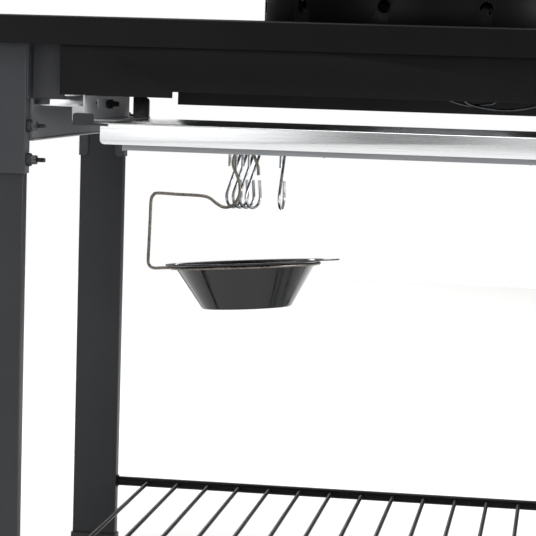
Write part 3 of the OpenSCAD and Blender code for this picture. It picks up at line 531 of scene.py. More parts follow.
def makeHub():
    w = wheel
    inner, half, web = w["rim"] - w["rimWall"], w["half"], w["web"]
    quarter = [(w["bore"], half), (w["barrel"] - 1, half), (w["barrel"], half - 1.5),
               (w["barrel"], web + 1),
               (w["barrel"] + 1, web), (inner - 1.5, web), (inner, web + 1.5), (inner, half - 2),
               (inner + 1.2, half), (w["rim"] - 1, half), (w["rim"], half - 1)]
    outline = quarter + [(r, -h) for r, h in reversed(quarter)] + quarter[:1]
    hub = addTurned(outline, steps=96)
    bpy.ops.object.mode_set(mode="OBJECT")
    windows = []
    for i in range(w["ribs"]):
        turn = 2 * math.pi * (i + 0.5) / w["ribs"]
        windows.append(addRod((w["windowAt"] * math.cos(turn), w["windowAt"] * math.sin(turn), -2 * web),
                              (w["windowAt"] * math.cos(turn), w["windowAt"] * math.sin(turn), 2 * web),
                              w["window"], 32, 0.02))
    clearSelection()
    cut(hub, windows)
    softenEdges(hub, 0.5, 2, 60)
    rib = addBox((w["barrel"] - 2, -w["rib"] / 2, -w["ribHalf"]), (inner + 2, w["rib"] / 2, w["ribHalf"]))
    # each rib is drawn in towards the rim
    pick("FACE", lambda f: f.normal.x > 0.9)
    bpy.ops.transform.resize(value=(1, 0.7, 0.85), center_override=(0, 0, 0))
    softenEdges(rib, 1.2, 3)
    ribs = [copyOf(rib, turn=360 * i / w["ribs"]) for i in range(1, w["ribs"])]
    return joined([hub, rib] + ribs)


def makeTyre():
    w = wheel
    half, outer, floor = w["half"], w["outer"], w["outer"] - w["groove"]
    side = [(w["rim"], 0), (w["rim"], half - 3), (w["rim"] + 1, half - 1)]
    side += [(w["rim"] + 3, half), (outer - w["shoulder"] - 1, half)]
    side += arcPoints((outer - w["shoulder"], half - w["shoulder"]), w["shoulder"], 80, 0, 5)
    side += [(outer, 13.6), (floor, 13.2), (floor, 10.8), (outer, 10.4), (outer, 1.6), (floor, 1.2),
             (floor, 0)]
    ring = side + [(r, -h) for r, h in reversed(side[:-1])]
    tyre = addTurned(ring, steps=w["treadSteps"])
    # cross grooves: every fourth strip of the tread is pushed in
    step = 2 * math.pi / w["treadSteps"]
    pick("FACE", lambda f: math.hypot(f.calc_center_median().x,
                                      f.calc_center_median().y) > (outer - 0.6) * mm
         and int(math.atan2(f.calc_center_median().y, f.calc_center_median().x) // step) % 4 == 0)
    bpy.ops.mesh.extrude_region_shrink_fatten(TRANSFORM_OT_shrink_fatten={"value": -w["groove"] * mm})
    bpy.ops.object.mode_set(mode="OBJECT")
    return tyre


hub, tyre = makeHub(), makeTyre()
for side in ("front", "rear"):
    low, high = boxOf(side + "_wheel_tyre")
    middlePoint = (low + high) / 2
    # the wheels stand on their CAD axis, the pattern's first rib up
    for base, name, material, slot in ((hub, "hub", blackNylon, "black_plastic"),
                                       (tyre, "tyre", tyreRubber, "rubber")):
        piece = placed(copyOf(base), middlePoint, (90, 0, 0))
        finish(piece, side + "Wheel_" + name, material, side + "_wheel",
               [side + "_wheel_" + name], angle=40)
bpy.data.objects.remove(hub)
bpy.data.objects.remove(tyre)

low, high = boxOf("axle")
axleAt = (low + high) / 2
capAt = high.y - axleAt.y
axleShape = {"radius": 5, "washer": 8, "cap": 9, "boss": 6, "legHalf": 250}
a = axleShape
halfOutline = [(a["radius"], 0), (a["radius"], a["legHalf"] + 0.3),
               (a["washer"] - 0.4, a["legHalf"] + 0.3),
               (a["washer"], a["legHalf"] + 0.8), (a["washer"], a["legHalf"] + 4.5),
               (a["washer"] - 0.4, a["legHalf"] + 5), (a["radius"], a["legHalf"] + 5),
               (a["radius"], capAt - 12),
               (a["cap"] - 0.8, capAt - 12), (a["cap"], capAt - 11), (a["cap"], capAt - 6),
               (a["cap"] - 1.5, capAt - 4), (a["boss"], capAt - 3.5), (a["boss"] - 0.6, capAt - 0.8),
               (a["boss"] - 2, capAt), (0, capAt)]
axle = addTurned([(r, -h) for r, h in reversed(halfOutline)] + halfOutline[1:], steps=32)
bpy.ops.object.mode_set(mode="OBJECT")
finish(placed(axle, axleAt, (90, 0, 0)), "wheelAxle", zincPlate, stands=["axle"])
print("wheels made")

# folded sheet parts of the cart: clean copies of the CAD shapes with their bends eased
sheetParts = {
    # node: (piece, material, slot, width of the eased edge)
    # the side rails' paint is drawn lighter than the legs' as painted light from the right
    "side_rail_left": ("sideRail_left", railPaintLitFromRight, "powder_coat", 0.5),
    "side_rail_right": ("sideRail_right", railPaintLitFromRight, "powder_coat", 0.5),
    "corner_gussets": ("cornerGussets", powderCoat, "powder_coat", 0.5),
    "front_apron": ("frontApron", blackPaint, "black_paint", 0.6),
    "rear_apron": ("rearApron", blackPaint, "black_paint", 0.6),
    # the brackets' paint is drawn pale as painted light from the right on their inward faces
    "shelf_bracket_left": ("shelfBracket_left", bracketPaintLitFromRight, "powder_coat", 0.6),
    "shelf_bracket_right": ("shelfBracket_right", bracketPaintLitFromRight, "powder_coat", 0.6),
    "bracket_straps": ("bracketStraps", brushedStainless, "brushed_stainless", 0.4),
    "shelf_tabs": ("shelfTabs", legPaint, "powder_coat", 0.4),
    "shelf_hangers": ("shelfHangers", blackNylon, "black_paint", 0.6),
    "hook_rail": ("hookRail", brushedZinc, "zinc_steel", 0.3),
    "support_ring": ("kettleCollar", blackPaint, "black_paint", 0.5),
    "grate_rests": ("grateRests", blackEnamel, "plain_steel", 0.4),
    "ash_hangers": ("ashHangers", rolledSteel, "plain_steel", 0.4),
    "hinge_bracket": ("hingeBracket", blackPaint, "black_paint", 0.5),
}
for node, (name, material, slot, width) in sheetParts.items():
    piece = cadCopy(node)
    softenEdges(piece, width, 2, 50)
    finish(piece, name, material, stands=[node])
print("sheet parts made")

# table top
table = {"corner": 22, "edge": 3, "sheet": 1.5, "hole": 172, "lipDrop": 7}


def makeTable():
    low, high = boxOf("table_top")
    piece = addBox(low, high)
    pick("FACE", lambda f: f.normal.z < -0.9)
    bpy.ops.mesh.delete(type="FACE")
    pick("EDGE", lambda e: runsAlong(e, 2))
    bpy.ops.mesh.bevel(offset=table["corner"] * mm, segments=8, affect="EDGES")
    pick("EDGE", lambda e: middle(e).z > (high.z - 0.1) * mm and len(e.link_faces) == 2)
    bpy.ops.mesh.bevel(offset=table["edge"] * mm, segments=3, affect="EDGES")
    useModifier(piece, "SOLIDIFY", thickness=table["sheet"] * mm, offset=-1)
    kettle = sum(boxOf("kettle_bowl"), Vector()) / 2
    hole = addRod((0, kettle.y, high.z - 20), (0, kettle.y, high.z + 20), table["hole"], 128, 0.01)
    clearSelection()
    cut(piece, [hole])
    r, top, t = table["hole"], high.z, table["sheet"]
    lip = addTurned([(r, top - table["lipDrop"]), (r, top - 2), (r + 1, top - 0.4), (r + 2.5, top),
                     (r + 4, top), (r + 4, top - t), (r + 3, top - t), (r + t, top - 3),
                     (r + t, top - table["lipDrop"]), (r, top - table["lipDrop"])], (0, kettle.y, 0), 128)
    clearSelection()
    return joined([piece, lip])


finish(makeTable(), "tableTop", blackPaint, stands=["table_top"])
print("table made")

# bolts, washers and nuts
bolt = {"radius": 2.5, "pitch": 0.8, "depth": 0.42, "head": 5.5, "headHeight": 3, "threaded": 22}


def makeBolt(radius, length, headRadius, headHeight):
    # a button head below zero, a plain shank and a thread up to the eased tip
    pitch, deep = bolt["pitch"], bolt["depth"]
    outline = [(0, -headHeight), (headRadius * 0.45, -headHeight), (headRadius * 0.8, -headHeight * 0.75),
               (headRadius, -headHeight * 0.25), (headRadius, -0.3), (headRadius - 0.3, 0), (radius, 0)]
    threads = int(min(bolt["threaded"], length - 2) / pitch)
    first = length - 1 - threads * pitch
    for i in range(threads):
        foot = first + i * pitch
        outline += [(radius, foot + 0.1), (radius - deep, foot + 0.38), (radius - deep, foot + 0.48)]
    outline += [(radius, length - 1), (radius - 0.7, length), (0, length)]
    piece = addTurned(outline, steps=24)
    bpy.ops.object.mode_set(mode="OBJECT")
    return piece


def makeWasher(radius, hole, thick):
    outline = [(hole, 0), (radius - 0.5, 0), (radius, 0.5), (radius, thick - 0.5), (radius - 0.5, thick),
               (hole, thick), (hole, 0)]
    piece = addTurned(outline, steps=40)
    bpy.ops.object.mode_set(mode="OBJECT")
    return piece


def makeNut(acrossFlats, hole, thick):
    # a hexagon whose corners are turned off to a cone at both ends, with a chamfered bore
    corner = acrossFlats / 2 / math.cos(math.radians(30))
    nut = addTurned([(hole, 0.5), (hole + 0.5, 0), (corner, 0), (corner, thick), (hole + 0.5, thick),
                     (hole, thick - 0.5), (hole, 0.5)], steps=6)
    bpy.ops.object.mode_set(mode="OBJECT")
    ease = corner - acrossFlats / 2
    cone = addTurned([(0, -0.01), (corner - ease, -0.01), (corner + 0.02, ease * 0.7),
                      (corner + 0.02, thick - ease * 0.7), (corner - ease, thick + 0.01),
                      (0, thick + 0.01)], steps=48)
    clearSelection()
    useModifier(nut, "BOOLEAN", object=cone, operation="INTERSECT", solver="EXACT")
    bpy.data.objects.remove(cone)
    return nut


legIn = boxOf("sleeve_front_left")[1].x
legWide = boxOf("sleeve_front_left")[1].x - boxOf("sleeve_front_left")[0].x
frontY = sum(v.y for v in boxOf("sleeve_front_left")) / 2
fixings = {
    "frontHeights": [548.5, 584], "rearHeights": [584, 650],
    "out": 19.5, "spacer": 4.5, "spacerRadius": 7, "nut": 6, "nutFlats": 9.4, "nutHole": 2.45,
    "slotBolt": (-139, 608), "slotNut": 5, "slotFlats": 10,
}
spots = [(frontY, z) for z in fixings["frontHeights"]] + [(-frontY, z) for z in fixings["rearHeights"]]
legBolt = makeBolt(bolt["radius"], legWide + fixings["out"], bolt["head"], bolt["headHeight"])
washer = makeWasher(fixings["spacerRadius"], bolt["radius"] + 0.1, fixings["spacer"])
legNut = makeNut(fixings["nutFlats"], fixings["nutHole"], fixings["nut"])
bolts, washers, nuts = [], [], []
for y, z in spots:
    # +Z of each fixing is turned to face inwards, which is +X on the left
    bolts.append(placed(copyOf(legBolt), (legIn - legWide, y, z), (0, 90, 0)))
    washers.append(placed(copyOf(washer), (legIn, y, z), (0, 90, 0)))
    nuts.append(placed(copyOf(legNut), (legIn + fixings["spacer"], y, z), (0, 90, 0)))
slotY, slotZ = fixings["slotBolt"]
railIn, bracketFace = -417.5, -357      # inner faces of the side rail and of the bracket
studRadius, studHeadRadius, studHead, studOut = 3, 5, 1.5, 12
slotBolt = makeBolt(studRadius, bracketFace + studOut - railIn - studHead, studHeadRadius, studHead)
slotNut = makeNut(fixings["slotFlats"], 2.95, fixings["slotNut"])
bolts.append(placed(slotBolt, (railIn + studHead, slotY, slotZ), (0, 90, 0)))
nuts.append(placed(copyOf(slotNut), (bracketFace + 0.1, slotY, slotZ), (0, 90, 0)))
nuts.append(placed(slotNut, (bracketFace - 1.5 - 0.1 - fixings["slotNut"], slotY, slotZ), (0, 90, 0)))
for parts, name, material, slot, node in (
        (bolts, "legBolts", darkZinc, "zinc_steel", "frame_bolts"),
        (washers, "legSpacers", blackNylon, "black_plastic", "frame_spacers"),
        (nuts, "legNuts", darkZinc, "zinc_steel", "frame_nuts")):
    left = joined(parts)
    right = copyOf(left, mirrorAxis=0)
    finish(joined([left, right]), name, material, stands=[node])
for spare in (legBolt, washer, legNut):
    bpy.data.objects.remove(spare)
print("fixings made")

# lower rack
rack = {"rail": 6, "bar": 2.5, "collar": 8, "bars": 20, "spacing": 40, "z": 110, "y": 240, "half": 421.8}
r = rack
bars = []
for y in (-r["y"], r["y"]):
    bars.append(addRod((-r["half"], y, r["z"]), (r["half"], y, r["z"]), r["rail"], 24, 0.1))
    for x in (-r["half"], r["half"] - 2):
        bars.append(addRod((x, y, r["z"]), (x + 2, y, r["z"]), r["collar"], 24, 0.06))
for i in range(r["bars"]):
    x = r["spacing"] * (i - (r["bars"] - 1) / 2)
    bars.append(addRod((x, -r["y"], r["z"]), (x, r["y"], r["z"]), r["bar"], 16, 0.2))
clearSelection()
finish(joined(bars), "lowerRack", blackPaint, stands=["lower_rack"])

# front shelf
shelf = {"sheet": 1.2, "corner": 5, "fold": 1.6}


def makeShelf():
    low, high = boxOf("front_shelf")
    piece = addBox(low, high)
    # the face's lower corners are round, and the sides roll in below
    pick("EDGE", lambda e: runsAlong(e, 1) and middle(e).z < (low.z + 0.1) * mm)
    bpy.ops.mesh.bevel(offset=shelf["corner"] * mm, segments=6, affect="EDGES")
    pick("FACE", lambda f: f.normal.z < -0.99)
    bpy.ops.mesh.delete(type="FACE")
    pick("EDGE", lambda e: middle(e).z > (high.z - 0.1) * mm)
    bpy.ops.mesh.bevel(offset=shelf["fold"] * mm, segments=4, affect="EDGES")
    useModifier(piece, "SOLIDIFY", thickness=shelf["sheet"] * mm, offset=-1)
    softenEdges(piece, 0.3, 2, 50)
    return piece


finish(makeShelf(), "frontShelf", brushedStainless, stands=["front_shelf"])
low, high = boxOf("hook_rod")
rodAt = (low + high) / 2
finish(addRod((low.x, rodAt.y, rodAt.z), (high.x, rodAt.y, rodAt.z), 1.6, 20), "hookRod", zincPlate,
       stands=["hook_rod"])
print("shelf made")

# hooks
hook = {"upper": 8, "lower": 11.5, "upperZ": 562, "lowerZ": 517.4, "upperTip": 13, "lowerTip": 17,
        "wire": 1.5, "xs": [-201, -194.2, -187.4, -180.6, -150.5], "yaws": [32, 32, 32, 32, 5]}


def hookLine():
    # the S from its short upper tip round both bends, as (across, up)
    drop = hook["upperZ"] - hook["lowerZ"]
    lean = math.degrees(math.asin((hook["upper"] + hook["lower"]) / drop))
    line = [(-hook["upper"], -hook["upperTip"])]
    line += arcPoints((0, 0), hook["upper"], 180, -lean, 28)
    line += arcPoints((0, -drop), hook["lower"], 180 - lean, 360, 32)
    return line + [(hook["lower"] - 2, -drop + hook["lowerTip"])]


for i, (x, yaw) in enumerate(zip(hook["xs"], hook["yaws"])):
    out = Vector((math.sin(math.radians(yaw)), math.cos(math.radians(yaw)), 0))
    top = Vector((x, rodAt.y, hook["upperZ"]))
    addWire([top + out * a + Vector((0, 0, b)) for a, b in hookLine()], hook["wire"])
    node = "s_hook_%d" % (i + 1)
    finish(bpy.context.object, "toolHook_%d" % (i + 1), hookNickel,
           "single_hook" if i == 4 else "hook_bunch", [node], angle=50)
print("hooks made")

# bowl holder and drip bowl
holder = {
    "wire": 1.65, "y": -235.5, "ring": 77.2,
    "route": [
        (-173.5, 541), (-174.2, 549), (-177.5, 558), (-181.5, 565.2), (-188.5, 570), (-195.5, 566.4),
        (-200, 558), (-200, 549), (-196, 540), (-193, 530), (-193, 520), (-197, 511.5), (-203, 507),
        (-210, 506.5), (-217.2, 510), (-225, 515.5), (-235, 517.4), (-258.4, 517.8), (-279.4, 518.3),
        (-284.4, 516), (-286.7, 510), (-287.2, 490), (-287.8, 465), (-288.2, 447), (-286.4, 441.5),
        (-281.4, 439.4), (-271.4, 440), (-260.9, 440.6)],
}
drip = {"at": (-184.8, -235.5, 450.2), "lean": -3.4, "tilt": -4.2, "rim": 83.5, "body": 75,
        "base": 48.2, "depth": 48,
        "sheet": 1.2, "tabReach": 15, "tabHalf": 13, "tabHole": 3}
route = smoothLine([(x, holder["y"], z) for x, z in holder["route"]], 8)
stem = addWire(route, holder["wire"])
ringHeight = -holder["wire"] - drip["sheet"] - 1.2
addTurned(arcPoints((holder["ring"], ringHeight), holder["wire"], 0, 360, 16), steps=128)
bpy.ops.object.mode_set(mode="OBJECT")
ring = placed(bpy.context.object, drip["at"], (drip["lean"], drip["tilt"], 0))
finish(joined([stem, ring]), "bowlHolder", drawnWire, "holder", ["bowl_holder"], angle=50)


def makeDripBowl():
    d = drip
    t, rim, body, base, deep = d["sheet"], d["rim"], d["body"], d["base"], d["depth"]
    outline = [(0, -deep), (base - 5, -deep)] + arcPoints((base - 4, -deep + 4), 4, -80, -35, 4)
    outline += [(body - 1.2, -t - 1.6), (body + 0.4, -t - 0.2), (body + 2, -t), (rim - 1.2, -t)]
    outline += arcPoints((rim - 0.9, -t / 2 - 0.1), 0.8, -90, 90, 6)
    outline += [(body + 2, 0), (body, -0.3), (body - t - 0.8, -t - 1.2), (base - t - 0.6, -deep + 4.5),
                (base - 4, -deep + t + 0.6), (base - 7, -deep + t), (0, -deep + t)]
    piece = addTurned(outline, steps=128)
    bpy.ops.object.mode_set(mode="OBJECT")
    tab = addBox((body + 1, -d["tabHalf"], -t), (rim + d["tabReach"], d["tabHalf"], -0.1))
    pick("EDGE", lambda e: runsAlong(e, 2) and middle(e).x > rim * mm)
    bpy.ops.mesh.bevel(offset=6 * mm, segments=5, affect="EDGES")
    eye = addRod((rim + 8, 0, -5), (rim + 8, 0, 5), d["tabHole"], 32, 0.05)
    clearSelection()
    cut(tab, [eye])
    softenEdges(tab, 0.25, 2, 50)
    return placed(joined([piece, tab]), d["at"], (d["lean"], d["tilt"], 0))


finish(makeDripBowl(), "dripBowl", blackEnamel, "bowl", ["drip_bowl"], angle=50)
print("bowl and holder made")

# kettle
kettle = {"y": 10, "rim": 897, "radius": 285, "depth": 225, "sheet": 2, "bead": 4.5,
          "vent": 16, "ventAt": 62, "shaft": 4.2}


def ovalPoints(across, up, count, start=0, end=90):
    # points on a quarter of an ellipse, in degrees of its own circle
    return [(across * x, up * y) for x, y in arcPoints((0, 0), 1, start, end, count)]


def makeKettleBowl():
    k = kettle
    r, deep, t = k["radius"], k["depth"], k["sheet"]
    outline = [(x, -z) for x, z in reversed(ovalPoints(r, deep, 48))]
    outline += arcPoints((r + 2.5, -2), k["bead"], -110, 160, 16)
    outline += [(x, -z) for x, z in ovalPoints(r - t, deep - t, 48, 1.5)]
    bowl = addTurned(outline, (0, k["y"], k["rim"]), 128)
    bottom = k["rim"] - deep
    holes = [addRod((0, k["y"], bottom - 20), (0, k["y"], bottom + 20), k["shaft"], 24, 0.01)]
    for i in range(3):
        turn = math.radians(90 + 120 * i)
        x, y = k["ventAt"] * math.cos(turn), k["y"] + k["ventAt"] * math.sin(turn)
        holes.append(addRod((x, y, bottom - 20), (x, y, bottom + 40), k["vent"], 48, 0.01))
    clearSelection()
    cut(bowl, holes)
    return bowl


finish(makeKettleBowl(), "kettleBowl", blackEnamel, stands=["kettle_bowl"], angle=40)

handle = {"rod": 4, "reach": -326, "half": 58, "z": 862, "foot": 9, "bend": 14, "inside": -274}
h = handle
route = bentLine([(h["inside"], -h["half"], 0), (h["reach"], -h["half"], 0), (h["reach"], h["half"], 0),
                  (h["inside"], h["half"], 0)], h["bend"])
rod = addWire(route, h["rod"])
feet = []
for y in (-h["half"], h["half"]):
    foot = addTurned([(0, 0), (h["foot"], 0), (h["foot"], 10), (h["foot"] - 1.5, 12), (h["rod"], 13),
                      (0, 13)], steps=32)
    bpy.ops.object.mode_set(mode="OBJECT")
    feet.append(placed(foot, (h["inside"] - 1, y, 0), (0, -90, 0)))
leftHandle = placed(joined([rod] + feet), (0, kettle["y"], h["z"]))
bothHandles = joined([leftHandle, copyOf(leftHandle, mirrorAxis=0)])
finish(bothHandles, "bowlHandles", polishedChrome, stands=["bowl_handles"], angle=40)


def makeGrip(radius):
    # a turned grip along Z, a little fuller in the middle, with a chamfered bore
    half, bore = 48, 4.1
    outline = [(bore, 0), (bore, half - 1), (bore + 1, half), (radius - 4, half)]
    outline += arcPoints((radius - 4, half - 4), 3.4, 80, 10, 5)
    outline += [(radius - 0.3, half * 0.5), (radius, 0)]
    outline = outline[:-1] + [(radius, 0)] + [(r, -z) for r, z in reversed(outline[1:-1])] + [(bore, 0)]
    grip = addTurned(outline, steps=40)
    bpy.ops.object.mode_set(mode="OBJECT")
    return grip


sideGrip = placed(makeGrip(12), (h["reach"], kettle["y"], h["z"]), (90, 0, 0))
finish(joined([sideGrip, copyOf(sideGrip, mirrorAxis=0)]), "bowlHandleGrips", blackNylon,
       stands=["bowl_grips"])
print("kettle made")

# grates
grate = {"z": 880, "radius": 266, "rim": 4, "rod": 2.5, "flapX": 158, "gap": 17, "past": 1.6, "loop": 16}
coals = {"z": 776, "radius": 228, "rim": 4, "rod": 3, "gap": 28}


def rodAcross(radius, x, z, size):
    half = math.sqrt(radius ** 2 - x ** 2)
    return addRod((x, kettle["y"] - half, z), (x, kettle["y"] + half, z), size, 16, 0.3)


def rimWire(radius, start, end, z, size):
    line = [(x, y, z) for x, y in arcPoints((0, kettle["y"]), radius, start, end, 60)]
    return addWire(line, size)


g = grate
cutAt = math.degrees(math.acos(g["flapX"] / g["radius"])) - g["past"]
rods = [rimWire(g["radius"], cutAt, 180 - cutAt, g["z"], g["rim"]),
        rimWire(g["radius"], 180 + cutAt, 360 - cutAt, g["z"], g["rim"])]
rods += [rodAcross(g["radius"], x, g["z"], g["rod"])
         for x in [-g["flapX"], g["flapX"]] + [g["gap"] * i for i in range(-8, 9)]]
for y in (-120, 120):
    rods.append(addRod((-g["flapX"] - 2, kettle["y"] + y, g["z"] - 3.4),
                       (g["flapX"] + 2, kettle["y"] + y, g["z"] - 3.4), g["rod"], 16, 0.3))
for y in (-80, 80):
    loop = [(-136, kettle["y"] + y + a, g["z"] + b) for a, b in arcPoints((0, 0), g["loop"], 0, 180, 24)]
    rods.append(addWire(loop, 2))
clearSelection()
finish(joined(rods), "cookingGrate", grateSteel, "grate", ["cooking_grate"])

eyeX = g["flapX"] + 12
flapCut = math.degrees(math.acos(eyeX / g["radius"]))
rods = [rimWire(g["radius"], -flapCut, flapCut, g["z"], g["rim"])]
rods += [rodAcross(g["radius"], eyeX + g["gap"] * i, g["z"], g["rod"]) for i in range(6)
         if eyeX + g["gap"] * i <= g["radius"] - 10]
rods.append(addRod((eyeX, kettle["y"], g["z"]), (g["radius"], kettle["y"], g["z"]), g["rod"], 16, 0.3))
for y in (-100, 100):
    at = kettle["y"] + y
    ring = addTurned([(g["rod"] + 0.1, -4), (4.6, -4), (5, -3.6), (5, 3.6), (4.6, 4), (g["rod"] + 0.1, 4),
                      (g["rod"] + 0.1, -4)], steps=24)
    bpy.ops.object.mode_set(mode="OBJECT")
    rods.append(placed(ring, (g["flapX"], at, g["z"]), (90, 0, 0)))
    arm = addBox((g["flapX"] + 4.6, at - 3, g["z"] - 1.5), (eyeX, at + 3, g["z"] + 1.5))
    softenEdges(arm, 0.4)
    rods.append(arm)
clearSelection()
rightFlap = joined(rods)
leftFlap = copyOf(rightFlap, mirrorAxis=0)
finish(rightFlap, "grateFlap_right", grateSteel, "flap_right", ["grate_flap_right"])
finish(leftFlap, "grateFlap_left", grateSteel, "flap_left", ["grate_flap_left"])

c = coals
ring = addTurned(arcPoints((c["radius"], 0), c["rim"], 0, 360, 16), (0, kettle["y"], c["z"]), 128)
rods = [ring] + [rodAcross(c["radius"], c["gap"] * i, c["z"], c["rod"]) for i in range(-7, 8)]
half = math.sqrt(c["radius"] ** 2 - 90 ** 2)
for y in (-90, 90):
    rods.append(addRod((-half, kettle["y"] + y, c["z"] - 4), (half, kettle["y"] + y, c["z"] - 4),
                       c["rod"], 16, 0.3))
clearSelection()
finish(joined(rods), "charcoalGrate", rolledSteel, "coal_grate", ["charcoal_grate"])
print("grates made")

# vent sweep, lever and ash catcher
sweepPiece = cadCopy("vent_sweep")
softenEdges(sweepPiece, 0.3, 2, 50)
finish(sweepPiece, "ventSweep", rolledSteel, "sweep", ["vent_sweep"])

lever = {
    "z": 666.5, "turn": -72.7, "length": 225, "wire": 1.6, "y": -205,
    "front": [(48, 664), (42, 650), (35.5, 634), (37.5, 622.7), (56, 617.4), (77.8, 615.8), (99, 618.4),
              (116.7, 625), (117, 637), (98, 652), (84, 664)],
    "rear": [(50, 664), (34, 648), (18, 636), (18.9, 625.4), (37.6, 619.5), (54, 620.5), (66.6, 623.6),
             (76, 638), (80, 664)],
}
v = lever
bar = addBox((4, -8, 0), (v["length"], 8, 3))
pick("EDGE", lambda e: runsAlong(e, 2) and middle(e).x > 100 * mm)
bpy.ops.mesh.bevel(offset=5 * mm, segments=4, affect="EDGES")
softenEdges(bar, 0.4)
plate = addTurned([(4, 0), (11.6, 0), (12, 0.4), (12, 2.6), (11.6, 3), (4, 3), (4, 0)], steps=48)
clearSelection()
bar = placed(joined([bar, plate]), (0, 0, 0), (0, 0, v["turn"]))
bar = placed(bar, (0, kettle["y"], v["z"]))
clamp = addBox((44, v["y"] - 2.5, 662), (88, v["y"] + 7.5, v["z"] + 1))
softenEdges(clamp, 0.6)
wires = [addWire(smoothLine([(x, v["y"], z) for x, z in v["front"]], 8), v["wire"]),
         addWire(smoothLine([(x, v["y"] + 5, z) for x, z in v["rear"]], 8), v["wire"])]
clearSelection()
finish(joined([bar, clamp] + wires), "sweepLever", rolledSteel, "sweep", ["sweep_lever"])

pan = {"floor": 624, "height": 34.8, "sheet": 1.5, "rim": 99.5}
p, t = pan, pan["sheet"]
outline = [(0, 0), (72, 0), (75.4, 0.5), (77, 1.6), (80, 6), (92, p["height"] - 0.6), (92.6, p["height"]),
           (p["rim"] - 0.5, p["height"]), (p["rim"], p["height"] + t / 2),
           (p["rim"] - 0.5, p["height"] + t),
           (92 - t, p["height"] + t), (91 - t, p["height"] + t - 0.8), (80 - t, 7), (76.4, 3), (72, t),
           (0, t)]
panPiece = addTurned(outline, (0, kettle["y"], p["floor"]), 128)
notches = []
for turn in (45, 165, 285):
    notch = addBox((93.5, -11, p["height"] - 1), (110, 11, p["height"] + 3))
    bpy.ops.object.mode_set(mode="OBJECT")
    notches.append(placed(placed(notch, (0, 0, 0), (0, 0, turn)), (0, kettle["y"], p["floor"])))
clearSelection()
cut(panPiece, notches)
finish(panPiece, "ashCatcher", aluminised, "ash_pan", ["ash_catcher"])
print("sweep and ash catcher made")

# lid
lid = {"z": 900, "skirt": 12, "radius": 291, "height": 177, "sheet": 2, "bead": 2.5,
       "damperTurn": -25, "damperAt": 52, "holeAt": 26, "hole": 9, "seat": 46, "gaugeAt": 38}


def onDome(piece, turn, t):
    # moves a piece built about the origin onto the dome, its Z along the surface's normal
    across, up = lid["radius"] * math.cos(math.radians(t)), lid["height"] * math.sin(math.radians(t))
    rise = math.degrees(math.atan2(up / lid["height"] ** 2, across / lid["radius"] ** 2))
    placed(piece, (across, 0, up), (0, 90 - rise, 0))
    placed(piece, (0, 0, 0), (0, 0, turn))
    return placed(piece, (0, kettle["y"], lid["z"] + lid["skirt"]))


def damperHoles(offset):
    tools = []
    for i in range(4):
        turn = math.radians(90 * i + offset)
        x, y = lid["holeAt"] * math.cos(turn), lid["holeAt"] * math.sin(turn)
        tools.append(addRod((x, y, -20), (x, y, 20), lid["hole"], 40, 0.01))
    clearSelection()
    return tools


def makeLid():
    r, up, t = lid["radius"], lid["height"], lid["sheet"]
    outline = [(r - t, 0.6), (r - t / 2, 0)] + arcPoints((r + 0.5, 2.5), lid["bead"], -90, 90, 10)
    outline += [(r, 5.4)] + [(x, z + lid["skirt"]) for x, z in ovalPoints(r, up, 56)]
    outline += [(x, z + lid["skirt"]) for x,
                z in reversed(ovalPoints(r - t, up - t, 56))] + [(r - t, 0.6)]
    shell = addTurned(outline, (0, kettle["y"], lid["z"]), 128)
    clearSelection()
    cut(shell, [onDome(tool, lid["damperTurn"], lid["damperAt"]) for tool in damperHoles(0)])
    seat = addTurned([(0, -6), (lid["seat"], -6), (lid["seat"], 2), (lid["seat"] - 1, 3), (0, 3)],
                     steps=96)
    clearSelection()
    cut(seat, damperHoles(0))
    rivet = addTurned([(0, 3), (3, 3), (3, 8.6), (5, 8.6), (4.4, 9), (0, 9)], steps=24)
    clearSelection()
    return joined([shell, onDome(joined([seat, rivet]), lid["damperTurn"], lid["damperAt"])])


def makeTongue():
    # the tongue is a pressing welded to the skirt, its eye rolled round the hinge pin
    y, z = pinAt.y, pinAt.z
    eye = addTurned([(3.1, -14), (7, -14), (7.5, -13.5), (7.5, 13.5), (7, 14), (3.1, 14), (3.1, -14)],
                    steps=40)
    clearSelection()
    placed(eye, (0, y, z), (0, 90, 0))
    arm = addBox((-14, y - 17.4, z + 1), (14, y + 1, z + 7.4))
    pick("EDGE", lambda e: runsAlong(e, 2) and middle(e).y < y * mm)
    softenEdges(arm, 0.5)
    leaf = addBox((-14, y - 20.5, z + 4), (14, y - 16.5, z + 38))
    softenEdges(leaf, 0.6)
    return [eye, arm, leaf]


pinLow, pinHigh = boxOf("hinge_pin")
pinAt = (pinLow + pinHigh) / 2
lidShell = makeLid()
finish(joined([lidShell] + makeTongue()), "lidShell", blackEnamel, "lid", ["lid"],
       angle=40)

damper = addTurned([(3.1, 3.3), (41.4, 3.3), (42, 3.8), (42, 4.6), (41.4, 5.1), (3.1, 5.1), (3.1, 3.3)],
                   steps=96)
clearSelection()
cut(damper, damperHoles(45))
collar = addTurned([(3.1, 5.1), (10, 5.1), (10, 7.4), (9.3, 8.1), (3.1, 8.1), (3.1, 5.1)], steps=48)
clearSelection()
knob = addTurned([(0, 5.1), (4.4, 5.1), (4.4, 9), (6, 11), (6, 17.4), (4.8, 19), (0, 19.1)], (34, 0, 0),
                 40)
clearSelection()
finish(onDome(joined([damper, collar, knob]), lid["damperTurn"], lid["damperAt"]), "lidDamper",
       aluminised, "damper", ["lid_damper"])

